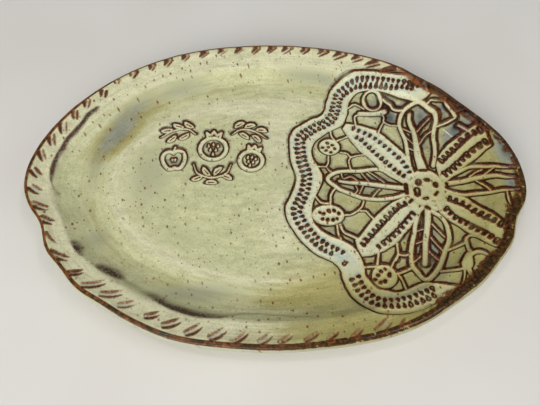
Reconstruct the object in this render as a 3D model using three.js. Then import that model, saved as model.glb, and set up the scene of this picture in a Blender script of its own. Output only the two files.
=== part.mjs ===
// Oval serving platter for the new year's table, hand built in stoneware.
// A rolled slab carries everything: a flat strip of clay is laid round its edge, a foot ring is
// joined under it, and the fired glaze lies on it as three thin coats. The doily pattern, the
// strokes along the rim and the stamped fruit are pressed less than a millimetre into the face.
// Millimetres, +Z up. The long side lies along X, and Z = 0 is the table under the foot.
import * as THREE from 'three';
import { mergeVertices } from 'three/addons/utils/BufferGeometryUtils.js';

// Driving dimensions. LENGTH and WIDTH are measured over the rim's crest.
const LENGTH = 326;
const WIDTH = 222;
const BAND = 16.5; // width of the strip along the edge
const BAND_FOLLOWS = 0.4; // share of each wobble of the edge that the strip's inner side has
const FOOT_LENGTH = 210; // over the middle of the foot ring
const FOOT_WIDTH = 132;
const FOOT_HEIGHT = 4.75;
const FOOT_TOP = 8; // thickness of the ring where it joins the slab
const FOOT_SOLE = 6; // and where it stands on the table
const SOLE_CHAMFER = 0.8;
const GLAZE = 0.8; // thickness of the coat on the face
const BACK_GLAZE = 0.6; // and of the thinner coats underneath
const GAP = 0.3; // kept between pieces that touch on the real platter

const EDGE_STEPS = 120; // steps round the platter for the pieces that follow its edge
const FOOT_STEPS = 64;

// The edge is an ellipse pushed in and out by hand. Each wobble has its direction and its reach
// in degrees of the ellipse's own angle, and how far it moves the edge outwards.
const EDGE_WOBBLES = [
  { at: 33, reach: 16.5, push: -5.9 },
  { at: 49.5, reach: 5.5, push: -2 },
  { at: 51.5, reach: 9, push: 1 },
  { at: 116.5, reach: 18, push: 2.1 },
  { at: 154.5, reach: 17, push: -0.9 },
  { at: 177, reach: 10, push: 1 },
  { at: 190, reach: 4.5, push: -0.5 },
  { at: 200, reach: 8.5, push: -7.3 },
  { at: 215.5, reach: 6, push: -2.9 },
  { at: 230.5, reach: 5, push: -1 },
  { at: 249, reach: 9.5, push: 2.2 },
  { at: 280, reach: 8.5, push: -0.8 },
  { at: 311.5, reach: 8.5, push: -2.4 },
  { at: 316, reach: 33, push: 2.1 },
  { at: 328, reach: 10, push: -3.6 },
  { at: 343, reach: 6.5, push: -5 },
];

// Heights along the slab from its middle outwards. A station is 0 at the middle, 1 over the foot
// ring, 2 at the inner side of the strip and 3 at the rim's crest.
const SLAB_FACE = [
  [0, 10],
  [0.8, 10.1],
  [1, 11.2],
  [1.2, 10.9],
  [1.45, 10.5],
  [1.65, 11.4],
  [1.82, 13.9],
  [2, 17.3],
  [3.02, 20.3],
];
const SLAB_BACK = [
  [0, 4.3],
  [0.8, 4.5],
  [1, 5.3],
  [1.2, 5],
  [1.45, 4.6],
  [1.65, 5.2],
  [1.82, 7.2],
  [2, 10.6],
  [2.6, 14.9],
  [3.05, 16],
];
// The strip's upper side: a low ridge inside, a shallow hollow, and the crest outside.
const STRIP_FACE = [
  [2.04, 18.5],
  [2.12, 19.4],
  [2.35, 20.2],
  [2.65, 21.5],
  [2.87, 23],
  [2.95, 23.3],
  [3, 22.9],
  [3.02, 22.1],
];

// How far the edge is moved outwards at an angle of the ellipse.
function edgePush(angle) {
  const degrees = THREE.MathUtils.radToDeg(angle);
  let push = 0;
  for (const wobble of EDGE_WOBBLES) {
    const off = THREE.MathUtils.euclideanModulo(degrees - wobble.at + 180, 360) - 180;
    push += wobble.push * Math.exp(-((off / wobble.reach) ** 2));
  }
  return push;
}

function onEllipse(angle, length, width) {
  return new THREE.Vector2((Math.cos(angle) * length) / 2, (Math.sin(angle) * width) / 2);
}

// A point of the platter in plan, at a station and at an angle of the ellipse.
function platterPoint(station, angle) {
  const foot = onEllipse(angle, FOOT_LENGTH, FOOT_WIDTH);
  if (station <= 1) return foot.multiplyScalar(station);
  const outward = onEllipse(angle, 1 / LENGTH, 1 / WIDTH).normalize();
  const ellipse = onEllipse(angle, LENGTH, WIDTH);
  const push = edgePush(angle);
  const stripInside = ellipse.clone().addScaledVector(outward, BAND_FOLLOWS * push - BAND);
  if (station <= 2) return foot.lerp(stripInside, station - 1);
  const edge = ellipse.clone().addScaledVector(outward, push);
  return stripInside.lerp(edge, station - 2);
}

// The foot ring keeps its thickness all round: its points are given by their reach along X.
function footPoint(reach, angle) {
  const acrossReach = reach - (FOOT_LENGTH - FOOT_WIDTH) / 2;
  return new THREE.Vector2(reach * Math.cos(angle), acrossReach * Math.sin(angle));
}

// The box round the crest isn't quite even about the ellipse, so every piece is moved by this.
function planCentre() {
  const box = new THREE.Box2();
  for (let i = 0; i < EDGE_STEPS; i++) {
    box.expandByPoint(platterPoint(OUTER_SKIN, (i / EDGE_STEPS) * 2 * Math.PI));
  }
  return box.getCenter(new THREE.Vector2());
}

// An oval lathe: the profile is turned as usual, and each point then goes to its own place in
// plan. A profile runs outwards below, up outside and back inwards on top.
function ovalLathe(profile, steps, pointInPlan) {
  const points = profile.map(([x, z]) => new THREE.Vector2(x, z));
  const turned = new THREE.LatheGeometry(points, steps);
  const position = turned.attributes.position;
  for (let i = 0; i < position.count; i++) {
    const reach = Math.hypot(position.getX(i), position.getZ(i));
    const angle = Math.atan2(position.getX(i), position.getZ(i));
    const plan = pointInPlan(reach, angle);
    position.setXYZ(i, plan.x - centre.x, plan.y - centre.y, position.getY(i));
  }
  turned.deleteAttribute('normal');
  turned.deleteAttribute('uv');
  const merged = mergeVertices(turned);
  merged.computeVertexNormals();
  return merged;
}

function heightAt(curve, station) {
  const next = curve.findIndex(([at]) => at >= station);
  if (next <= 0) return curve[Math.max(next, 0)][1];
  const [from, low] = curve[next - 1];
  const [to, high] = curve[next];
  return low + ((high - low) * (station - from)) / (to - from);
}

// A curve moved up by rise and cut to a range of stations.
function stretch(curve, from, to, rise) {
  const inside = curve.filter(([at]) => at > from && at < to);
  const stations = [from, ...inside.map(([at]) => at), to];
  return stations.map((at) => [at, heightAt(curve, at) + rise]);
}

function material(color, roughness) {
  return new THREE.MeshStandardMaterial({ color, roughness, metalness: 0 });
}

const BARE_CLAY = 0xb39a78;
const GLAZED_FACE = 0xc3c69a;
const GLAZED_BACK = 0xb4bb93;
const bareClay = material(BARE_CLAY, 0.85);
const glazedFace = material(GLAZED_FACE, 0.15);
const glazedBack = material(GLAZED_BACK, 0.2);

const ACROSS_BAND = 1 / BAND; // stations to a millimetre, across the strip
const OUTER_SKIN = SLAB_BACK.at(-1)[0] + (GAP + GLAZE) * ACROSS_BAND;
const centre = planCentre();
const platter = new THREE.Group();

function addPiece(name, geometry, finish) {
  const mesh = new THREE.Mesh(geometry, finish);
  mesh.name = name;
  platter.add(mesh);
}

// The slab, rolled 6 mm thick and sunk into a mould: a flat floor, a soft rise over the foot, a
// shallow channel round it and a wall up to the edge.
function claySlab() {
  return ovalLathe([...SLAB_BACK, ...SLAB_FACE.toReversed()], EDGE_STEPS, platterPoint);
}

// The strip lies on the slab's edge, which is why the rim is thicker than the floor.
function rimStrip() {
  const first = STRIP_FACE[0][0];
  const last = STRIP_FACE.at(-1)[0];
  const under = stretch(SLAB_FACE, first, last, GAP);
  return ovalLathe([...under, ...STRIP_FACE.toReversed(), under[0]], EDGE_STEPS, platterPoint);
}

// A coil of clay joined under the slab, trimmed flat where it stands.
function footRing() {
  const middle = FOOT_LENGTH / 2;
  const sole = FOOT_SOLE / 2;
  const top = FOOT_TOP / 2;
  const profile = [
    [middle - sole + SOLE_CHAMFER, 0],
    [middle + sole - SOLE_CHAMFER, 0],
    [middle + sole, SOLE_CHAMFER],
    [middle + top, FOOT_HEIGHT],
    [middle - top, FOOT_HEIGHT],
    [middle - sole, SOLE_CHAMFER],
    [middle - sole + SOLE_CHAMFER, 0],
  ];
  return ovalLathe(profile, FOOT_STEPS, footPoint);
}

// The glaze on the face runs over the floor and the strip, and down the outer edge.
function faceGlaze() {
  const [stripEdge, stripLip] = STRIP_FACE[0];
  const insideStrip = stripEdge - GAP * ACROSS_BAND;
  const [slabEdge, slabEdgeHeight] = SLAB_BACK.at(-1);
  const outsideSlab = slabEdge + GAP * ACROSS_BAND;
  const stripTop = STRIP_FACE.slice(1, -1);
  const stripShoulder = STRIP_FACE.at(-1)[1];
  const inner = [
    ...stretch(SLAB_FACE, 0, insideStrip, GAP),
    [insideStrip, stripLip + GAP],
    ...stripTop.map(([at, z]) => [at, z + GAP]),
    [outsideSlab, stripShoulder],
    [outsideSlab, slabEdgeHeight + GAP],
  ];
  const outer = [
    ...stretch(SLAB_FACE, 0, insideStrip - GLAZE * ACROSS_BAND, GAP + GLAZE),
    [insideStrip, stripLip + GAP + GLAZE],
    ...stripTop.map(([at, z]) => [at, z + GAP + GLAZE]),
    [OUTER_SKIN, stripShoulder + GAP],
    [OUTER_SKIN, slabEdgeHeight + GAP],
  ];
  return ovalLathe([...inner, ...outer.toReversed()], EDGE_STEPS, platterPoint);
}

// Under the flange, from the bare line round the foot out to the edge.
function flangeGlaze() {
  const from = 1.17;
  const to = 3.05;
  const upper = stretch(SLAB_BACK, from, to, -GAP);
  const lower = stretch(SLAB_BACK, from, to, -GAP - BACK_GLAZE);
  return ovalLathe([...lower, ...upper.toReversed(), lower[0]], EDGE_STEPS, platterPoint);
}

// Inside the foot ring, under the floor.
function floorGlaze() {
  const to = 0.92;
  const upper = stretch(SLAB_BACK, 0, to, -GAP);
  const lower = stretch(SLAB_BACK, 0, to, -GAP - BACK_GLAZE);
  return ovalLathe([...lower, ...upper.toReversed()], EDGE_STEPS, platterPoint);
}

addPiece('clay_slab', claySlab(), bareClay);
addPiece('rim_strip', rimStrip(), bareClay);
addPiece('foot_ring', footRing(), bareClay);
addPiece('face_glaze', faceGlaze(), glazedFace);
addPiece('flange_glaze', flangeGlaze(), glazedBack);
addPiece('floor_glaze', floorGlaze(), glazedBack);

export default platter;
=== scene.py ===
import math

import bpy
import numpy as np
from mathutils import Euler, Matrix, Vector
from mathutils.geometry import delaunay_2d_cdt


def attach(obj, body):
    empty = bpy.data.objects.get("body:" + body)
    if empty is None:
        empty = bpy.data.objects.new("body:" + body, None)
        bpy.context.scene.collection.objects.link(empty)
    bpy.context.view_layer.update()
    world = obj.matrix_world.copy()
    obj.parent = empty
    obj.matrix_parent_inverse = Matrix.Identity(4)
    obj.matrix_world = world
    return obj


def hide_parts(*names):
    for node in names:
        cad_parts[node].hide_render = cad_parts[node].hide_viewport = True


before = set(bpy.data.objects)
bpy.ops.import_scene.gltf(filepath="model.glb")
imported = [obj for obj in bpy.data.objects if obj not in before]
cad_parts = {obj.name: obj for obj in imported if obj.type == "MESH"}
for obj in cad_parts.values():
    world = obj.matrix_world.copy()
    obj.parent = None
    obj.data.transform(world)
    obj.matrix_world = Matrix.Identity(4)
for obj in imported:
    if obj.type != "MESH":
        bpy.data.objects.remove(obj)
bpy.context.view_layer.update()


# The clay: a rolled slab of buff stoneware and a strip luted round its edge. Both lie under the
# glaze, and the slab shows bare in the line round the foot, sandy and pinkish brown where the
# kiln has toasted it.
class Shade:
    """A socket in a finish. Sums on it add the nodes that work them out."""

    def __init__(self, tree, socket=None):
        self.tree = tree
        self.socket = socket

    def put(self, kind, settings=(), sockets=(), out=0):
        node = self.tree.nodes.new(kind)
        for name, value in dict(settings).items():
            setattr(node, name, value)
        for name, value in dict(sockets).items():
            if isinstance(value, Shade):
                self.tree.links.new(value.socket, node.inputs[name])
            else:
                node.inputs[name].default_value = value
        return Shade(self.tree, node.outputs[out] if node.outputs else None)

    def sum_of(self, operation, *values):
        return self.put("ShaderNodeMath", {"operation": operation}, dict(enumerate(values)))

    def __add__(self, other):
        return self.sum_of("ADD", self, other)

    __radd__ = __add__

    def __sub__(self, other):
        return self.sum_of("SUBTRACT", self, other)

    def __rsub__(self, other):
        return self.sum_of("SUBTRACT", other, self)

    def __mul__(self, other):
        return self.sum_of("MULTIPLY", self, other)

    __rmul__ = __mul__

    def over(self, other):
        return self.sum_of("MAXIMUM", self, other)

    def kept(self):
        """The value held between 0 and 1."""
        return self.put("ShaderNodeClamp", {}, {"Value": self})

    def rise(self, low, high):
        """0 at low and 1 at high, with soft ends. It falls where low is above high."""
        ends = {"Value": self, "From Min": low, "From Max": high}
        return self.put("ShaderNodeMapRange", {"interpolation_type": "SMOOTHSTEP"}, ends)

    def blend(self, colour, other, share):
        """One colour turned into another by a share."""
        ends = {0: share, 6: colour, 7: other}
        return self.put("ShaderNodeMix", {"data_type": "RGBA"}, ends, 2)

    def towards(self, colour, share):
        return self.blend(self, colour, share)

    def lit(self, by):
        """This colour made lighter or darker."""
        ends = {0: self, "Scale": by}
        return self.put("ShaderNodeVectorMath", {"operation": "SCALE"}, ends)

    def stretched(self, along):
        """These coordinates, multiplied along each axis."""
        ends = {0: self, 1: along}
        return self.put("ShaderNodeVectorMath", {"operation": "MULTIPLY"}, ends)

    def cloud(self, size, detail=2.0, rough=0.5):
        """Soft noise over these coordinates, whose lumps are about size millimetres."""
        sockets = {"Vector": self, "Scale": 1000 / size, "Detail": detail, "Roughness": rough}
        return self.put("ShaderNodeTexNoise", {}, sockets)


def tone(red, green, blue):
    """A colour of 0 to 255 as light."""
    return tuple((part / 255) ** 2.2 for part in (red, green, blue)) + (1.0,)


def new_finish(name):
    """An empty finish, a place to add its nodes from, and the piece's own coordinates."""
    finish = bpy.data.materials.new(name)
    finish.use_nodes = True
    finish.node_tree.nodes.clear()
    start = Shade(finish.node_tree)
    return finish, start, start.put("ShaderNodeTexCoord", out=3)


def bare_stoneware():
    finish, start, where = new_finish("bare_stoneware")
    sand = where.cloud(0.7, 3.0, 0.6)
    blush = where.cloud(24.0)
    grog = start.put("ShaderNodeTexVoronoi", {}, {"Vector": where, "Scale": 700.0})
    iron = grog.rise(0.16, 0.06) * where.cloud(5.0).rise(0.5, 0.62)
    colour = start.blend(tone(181, 153, 121), tone(196, 160, 128), blush.rise(0.35, 0.65))
    colour = colour.towards(tone(150, 121, 92), sand.rise(0.5, 0.75) * 0.6)
    colour = colour.towards(tone(84, 58, 41), iron)
    relief = sand + grog * 0.4
    bump = start.put("ShaderNodeBump", {}, {"Height": relief, "Strength": 0.5, "Distance": 0.0002})
    sockets = {"Base Color": colour, "Roughness": 0.74 + sand * 0.2, "Normal": bump}
    clay = start.put("ShaderNodeBsdfPrincipled", {}, sockets)
    start.put("ShaderNodeOutputMaterial", {}, {"Surface": clay})
    return finish


clay_finish = bare_stoneware()
for name in ("clay_slab", "rim_strip"):
    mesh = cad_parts[name].data
    mesh.materials.clear()
    mesh.materials.append(clay_finish)


# The foot ring: a coil of the same clay joined under the slab and turned true, with the marks of
# the trimming tool on its sides. Its sole is wiped bare, so that it doesn't stick to the shelf.
FOOT = (105.0, 66.0)  # half its length and half its width, over the middle of the ring
SOLE = 3.0  # half the sole's width
FLARE = 0.23  # how far the sides lean out, for each millimetre up
TOOL_MARKS = (1.1, 2.0, 2.9, 3.8)  # heights where the trimming tool bit in
FOOT_TOP = 4.5
BITE = 0.17


def foot_profile():
    """Up the outer side of the ring and down its inner one: reach from its middle, height."""
    side = [(2.1, 0.0), (2.5, 0.1), (2.85, 0.4), (SOLE, 0.85)]
    for low, high in zip(TOOL_MARKS, TOOL_MARKS[1:] + (FOOT_TOP,)):
        side += [(SOLE + FLARE * low, low), (SOLE - BITE + FLARE * low, low + 0.14)]
        side += [(SOLE + FLARE * (low + 0.35), low + 0.35), (SOLE + FLARE * high, high - 0.12)]
    side += [(4.25, 4.7), (4.7, 4.95)]
    return side + [(-reach, z) for reach, z in reversed(side)]


def millimetre_mesh(name, points, faces, finish, smooth=True):
    """A piece from points in millimetres and faces of three or four corners."""
    mesh = bpy.data.meshes.new(name)
    mesh.vertices.add(len(points))
    mesh.vertices.foreach_set("co", (np.asarray(points) / 1000).astype(np.float32).ravel())
    corners = np.concatenate([np.asarray(part).ravel() for part in faces])
    counts = np.concatenate([np.full(len(part), np.shape(part)[1]) for part in faces])
    mesh.loops.add(len(corners))
    mesh.loops.foreach_set("vertex_index", corners.astype(np.int32))
    mesh.polygons.add(len(counts))
    starts = np.concatenate([[0], np.cumsum(counts)[:-1]])
    mesh.polygons.foreach_set("loop_start", starts.astype(np.int32))
    mesh.polygons.foreach_set("use_smooth", np.full(len(counts), smooth))
    mesh.update(calc_edges=True)
    mesh.materials.append(finish)
    piece = bpy.data.objects.new(name, mesh)
    bpy.context.scene.collection.objects.link(piece)
    return piece


def wrapped_faces(columns, rows, closed_rows):
    """Faces of a skin whose columns go round the plate and whose rows follow a profile."""
    column = np.arange(columns)[:, None]
    row = np.arange(rows if closed_rows else rows - 1)[None, :]
    here = column * rows + row
    up = column * rows + (row + 1) % rows
    beside = (column + 1) % columns * rows
    return np.stack([here, beside + row, beside + (row + 1) % rows, up], -1).reshape(-1, 4)


def trimmed_foot():
    profile = np.array(foot_profile())
    turn = np.linspace(0, 2 * np.pi, 480, endpoint=False)
    chatter = 0.05 * np.sin(7 * turn + 1) + 0.04 * np.sin(19 * turn)
    reach = FOOT[0] + profile[None, :, 0] + chatter[:, None]
    x = reach * np.cos(turn)[:, None]
    y = (reach - FOOT[0] + FOOT[1]) * np.sin(turn)[:, None]
    points = np.stack([x, y, np.broadcast_to(profile[None, :, 1], reach.shape)], -1)
    faces = [wrapped_faces(len(turn), len(profile), True)]
    return millimetre_mesh("foot_ring_turned", points.reshape(-1, 3), faces, clay_finish)


foot_ring = trimmed_foot()
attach(foot_ring, "root")
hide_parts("foot_ring")


# The glaze under the platter: brushed thin inside the foot ring and under the flange, and wiped
# back from the foot in a line that wanders, where the coat ends in a low roll of brown.
LENGTH, WIDTH = 326.0, 222.0  # over the crest, before the edge was pushed in and out
BAND = 16.5  # width of the strip along the edge
BAND_FOLLOWS = 0.4  # share of each push that the strip's inner side has
CENTRE = (-0.292, 0.066)  # the pushes leave the plate a little off the middle of its box
EDGE_WOBBLES = (  # direction and reach in degrees, and how far the hand pushed the edge out
    (33, 16.5, -5.9), (49.5, 5.5, -2), (51.5, 9, 1), (116.5, 18, 2.1), (154.5, 17, -0.9),
    (177, 10, 1), (190, 4.5, -0.5), (200, 8.5, -7.3), (215.5, 6, -2.9), (230.5, 5, -1),
    (249, 9.5, 2.2), (280, 8.5, -0.8), (311.5, 8.5, -2.4), (316, 33, 2.1), (328, 10, -3.6),
    (343, 6.5, -5),
)
SLAB_BACK = (  # height under the slab at each station
    (0, 4.3), (0.8, 4.5), (1, 5.3), (1.2, 5), (1.45, 4.6), (1.65, 5.2), (1.82, 7.2), (2, 10.6),
    (2.6, 14.9), (3.05, 16),
)
STATIONS, MILLIMETRES_OUT = (0, 1, 2, 4), (0, 85, 121, 154)  # about how far out stations lie
UNDER_GLAZE, UNDER_SKIN = -0.3, -0.9  # the coat's two sides, from the slab's back


def edge_push(angle):
    """How far the edge is pushed out at an angle of the ellipse, in millimetres."""
    at, reach, push = np.array(EDGE_WOBBLES).T
    off = (np.degrees(angle)[..., None] - at + 180) % 360 - 180
    return (np.exp(-((off / reach) ** 2)) * push).sum(-1)


def in_plan(station, angle):
    """A point of the platter seen from above. Station 0 is the middle, 1 the foot ring, 2 the
    inner side of the rim strip and 3 the crest."""
    station, angle = np.broadcast_arrays(np.asarray(station, float), np.asarray(angle, float))
    along, across = np.cos(angle), np.sin(angle)
    foot = np.stack([FOOT[0] * along, FOOT[1] * across], -1)
    outward = np.stack([along / LENGTH, across / WIDTH], -1)
    outward /= np.linalg.norm(outward, axis=-1, keepdims=True)
    ellipse = np.stack([LENGTH / 2 * along, WIDTH / 2 * across], -1)
    push = edge_push(angle)[..., None]
    inner = ellipse + outward * (BAND_FOLLOWS * push - BAND)
    edge = ellipse + outward * push
    station = station[..., None]
    low = np.where(station <= 1, foot * station, foot + (inner - foot) * (station - 1))
    return np.where(station <= 2, low, inner + (edge - inner) * (station - 2)) - CENTRE


def eased(curve, station, soft=1.2):
    """The height on a profile. Its bends are softer inside the wall than on the strip."""
    step, pad = 0.25, 60
    reach = np.arange(0, 142, step)
    stations, heights = np.array(curve).T
    level = np.interp(reach, np.interp(stations, STATIONS, MILLIMETRES_OUT), heights)
    padded = np.pad(level, pad, "edge")
    rounded = []
    for width in (2.6, soft):
        bell = np.exp(-((np.arange(-pad, pad + 1) * step / width) ** 2))
        rounded.append(np.convolve(padded, bell / bell.sum(), "valid"))
    wall, wall_width = 108, 10
    share = np.clip((reach - wall) / wall_width, 0, 1)
    level = rounded[0] * (1 - share) + rounded[1] * share
    return np.interp(np.interp(station, STATIONS, MILLIMETRES_OUT), reach, level)


# What the glaze reads at each point: how far inside a pressed thread it lies in millimetres, then
# how blue it pools, how olive and how cream it is, how thin it ran over an edge, how frosty it is
# between the islands, how a dent's side shows, and how the strip's seam shows.
MARKS = ("press", "pool", "olive", "cream", "thin", "frost", "stroke", "seam")
FAR = -3.0  # a press that stands for any place far from a thread
BRUSH = (0.04, 0.014)  # how the brush marks are drawn out, across and along the edge


def mark(piece, station, turn, **values):
    """Keeps numbers at each point of a piece for its finish to read, and its way round."""
    count = len(piece.data.vertices)
    for name in MARKS:
        value = np.asarray(values.get(name, 0.0), np.float32)
        layer = piece.data.attributes.new(name, "FLOAT", "POINT")
        layer.data.foreach_set("value", value.ravel() if value.ndim else np.full(count, value))
    station, turn = np.broadcast_arrays(station, turn)
    across, along = BRUSH
    around = np.stack([station * across, np.cos(turn) * along, np.sin(turn) * along], -1)
    layer = piece.data.attributes.new("around", "FLOAT_VECTOR", "POINT")
    layer.data.foreach_set("vector", around.astype(np.float32).ravel())


def stoneware_glaze():
    """A celadon that lies thick and blue-grey where it pools and breaks to brown on every edge."""
    finish, start, where = new_finish("breaking_celadon")

    def read(name, out=2):
        return start.put("ShaderNodeAttribute", {"attribute_name": name}, out=out)

    press, pool, olive, cream, thin, frost, stroke, seam = (read(name) for name in MARKS)
    drift = where.cloud(26.0)
    wisp = where.stretched((1.0, 2.2, 1.0)).cloud(9.0, 3.0, 0.6)
    grain = where.cloud(1.1)
    fine = where.cloud(0.45, 1.0)
    brushed = read("around", 1).cloud(3.2, 3.0, 0.65)

    # The open glaze, from cream over celadon and olive to the blue-grey of its pools.
    paler = (cream + (wisp - 0.5) * 0.5 + (brushed - 0.5) * 0.6).kept()
    colour = start.blend(tone(203, 203, 157), tone(218, 215, 177), paler)
    greener = olive + (drift - 0.5) * 0.5 - (brushed - 0.5) * 0.7
    colour = colour.towards(tone(174, 166, 108), greener.rise(0.1, 1.0))
    colour = colour.towards(tone(152, 139, 72), greener.rise(0.9, 1.9) * 0.8)
    bluish = pool + (wisp - 0.5) * 0.6 + (brushed - 0.5) * 0.5 + (grain - 0.5) * 0.7
    colour = colour.towards(tone(150, 152, 133), bluish.rise(0.15, 1.1))
    colour = colour.towards(tone(82, 98, 92), bluish.rise(1.0, 2.0))
    colour = colour.lit(1.0 + (grain - 0.5) * 0.6 + (wisp - 0.5) * 0.5 + (brushed - 0.5) * 0.5)

    # The smooth floors of the threads, paler, with a frost between the islands. Each thread's
    # brighter middle is a painted highlight, and the darker and lighter patches of its twist are
    # painted shade and highlight.
    inside = press.rise(0.15, 0.7)
    # How olive the glaze is. Towards the east end this also carries painted shade, where the light
    # falls off.
    olive_and_shade = olive.rise(0.15, 1.1)
    thread = start.blend(tone(216, 217, 176), tone(174, 166, 106), olive_and_shade)
    painted_highlight = start.blend(tone(228, 228, 196), tone(186, 179, 121), olive_and_shade)
    colour = colour.towards(thread, inside * 0.85)
    colour = colour.towards(painted_highlight, press.rise(0.5, 1.6) * 0.7)
    twist_light_and_shade = where.stretched((1.0, 1.0, 0.3)).cloud(2.2, 3.0, 0.6)
    colour = colour.towards(tone(152, 150, 104), inside * twist_light_and_shade.rise(0.52, 0.68) * 0.45)
    colour = colour.towards(painted_highlight, inside * twist_light_and_shade.rise(0.46, 0.34) * 0.6)
    icy = (frost * (0.35 + wisp.rise(0.4, 0.65) * 0.65) * (1 - olive_and_shade * 0.7)).kept()
    colour = colour.towards(tone(178, 197, 190), icy * 0.85)

    # The brown line where the glaze breaks over a thread's edge, with its grey and purple shade.
    # The line is partly painted shade: it is broader on the side of each edge turned from the
    # light, and its near-black core stands for the shade down in the groove.
    halo = press.rise(-2.5, -1.4) * press.rise(-0.3, -0.8)
    clear_of_olive_and_shade = 1 - olive_and_shade * 0.65
    colour = colour.towards(tone(112, 128, 126), halo * wisp.rise(0.36, 0.64) * clear_of_olive_and_shade * 0.5)
    ragged = press + (grain - 0.5) * 0.45 + (where.cloud(3.2) - 0.5) * 0.5
    smear = ragged.rise(-0.75, -1.25) * ragged.rise(-2.3, -1.6)
    colour = colour.towards(tone(104, 76, 68), smear * wisp.rise(0.42, 0.6) * clear_of_olive_and_shade * 0.5)
    line = ragged.rise(0.32, 0.06) * ragged.rise(-1.3, -0.75)
    faint = where.cloud(13.0).rise(0.2, 0.45)
    rust_and_shade = (line * (0.78 + faint * 0.22)).kept()
    iron = start.blend(tone(18, 4, 1), tone(80, 33, 12), grain.rise(0.42, 0.7))
    dotted = (where.cloud(1.7) - fine * 0.2).rise(0.5, 0.64)
    warm = (ragged.rise(-0.35, 0.15) * 0.6).over(dotted * 0.5)
    colour = colour.towards(iron.towards(tone(160, 84, 32), warm), rust_and_shade * 0.97)

    # The crest and the right rim, where it ran thin, and the browns rubbed into dents and seam.
    lumpy = where.cloud(3.5, 3.0, 0.65)
    worn = thin * (1 + (lumpy - 0.5) * olive_and_shade * 3.2) + (grain - 0.5) * 0.4
    bare = worn.rise(0.25, 0.62)
    burnt = (worn - fine * 0.3 - (lumpy - 0.5) * 2.0).rise(0.35, 1.0)
    brown = start.blend(tone(138, 78, 36), tone(36, 13, 7), burnt)
    mottled = where.cloud(2.0, 3.0).rise(0.4, 0.68)
    murky = start.blend(tone(22, 8, 3), tone(100, 60, 31), mottled)
    colour = colour.towards(brown.towards(murky, olive_and_shade * 0.8), bare * 0.95)
    uneven = 1 + (grain - 0.5) * 1.8 + (fine - 0.5) * 0.8 + (wisp - 0.5) * 1.2
    painted = stroke * uneven
    colour = colour.towards(tone(134, 84, 48), painted.rise(0.12, 0.5) * 0.85)
    colour = colour.towards(tone(64, 30, 17), painted.rise(0.45, 0.95) * 0.8)
    colour = colour.towards(tone(126, 114, 92), seam.rise(0.02, 0.5) * 0.7)
    colour = colour.towards(tone(66, 40, 34), (seam * uneven).rise(0.3, 0.9) * 0.9)

    # The iron specks, in three sizes. Their pattern is flat, and tipped a little, so that on the
    # outer wall they run neither straight down nor far.
    tip = {"Vector": where, "Rotation": (0.35, 0.35, 0.0), "Scale": (1.06, 1.06, 1.06)}
    tipped = start.put("ShaderNodeMapping", {}, tip)
    flat = {"voronoi_dimensions": "2D"}
    specks = 0.0
    for size, narrow, reach, share, strength in (
        (1.6, 0.9, 0.24, 0.86, 0.6), (3.6, 0.9, 0.17, 0.78, 1.0), (7.0, 0.65, 0.13, 0.55, 1.0)
    ):
        sockets = {"Vector": tipped.stretched((1.0, narrow, 1.0)), "Scale": 1000 / size}
        spot = start.put("ShaderNodeTexVoronoi", flat, sockets)
        pick = start.put("ShaderNodeTexVoronoi", flat, sockets, 1)
        pick = start.put("ShaderNodeSeparateColor", {}, {"Color": pick})
        edge = spot + (fine - 0.5) * 0.2
        specks = edge.rise(reach, reach * 0.4) * pick.rise(share, share + 0.1) * strength + specks
    patchy = where.cloud(34.0).rise(0.36, 0.58)
    speck_tone = start.blend(tone(138, 82, 40), tone(76, 42, 24), fine.rise(0.38, 0.6))
    colour = colour.towards(speck_tone, specks.kept() * (0.5 + patchy * 0.5) * 0.9)

    iron_skin = rust_and_shade.over(bare)
    ripple = where.cloud(5.0) * 0.5 + grain * 0.2 + inside * where.cloud(1.6) * 0.5
    ripple = ripple + iron_skin * fine * 0.7
    relief = {"Height": ripple, "Strength": 0.4, "Distance": 0.00012}
    bump = start.put("ShaderNodeBump", {}, relief)
    sockets = {
        "Base Color": colour,
        "Roughness": 0.26 + grain * 0.06 - iron_skin * 0.14,
        "Normal": bump,
        "Specular IOR Level": 0.13,
        "Coat Weight": 0.08 + inside * 0.1,
        "Coat Roughness": 0.06,
    }
    glass = start.put("ShaderNodeBsdfPrincipled", {}, sockets)
    start.put("ShaderNodeOutputMaterial", {}, {"Surface": glass})
    return finish


glaze_finish = stoneware_glaze()


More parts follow.
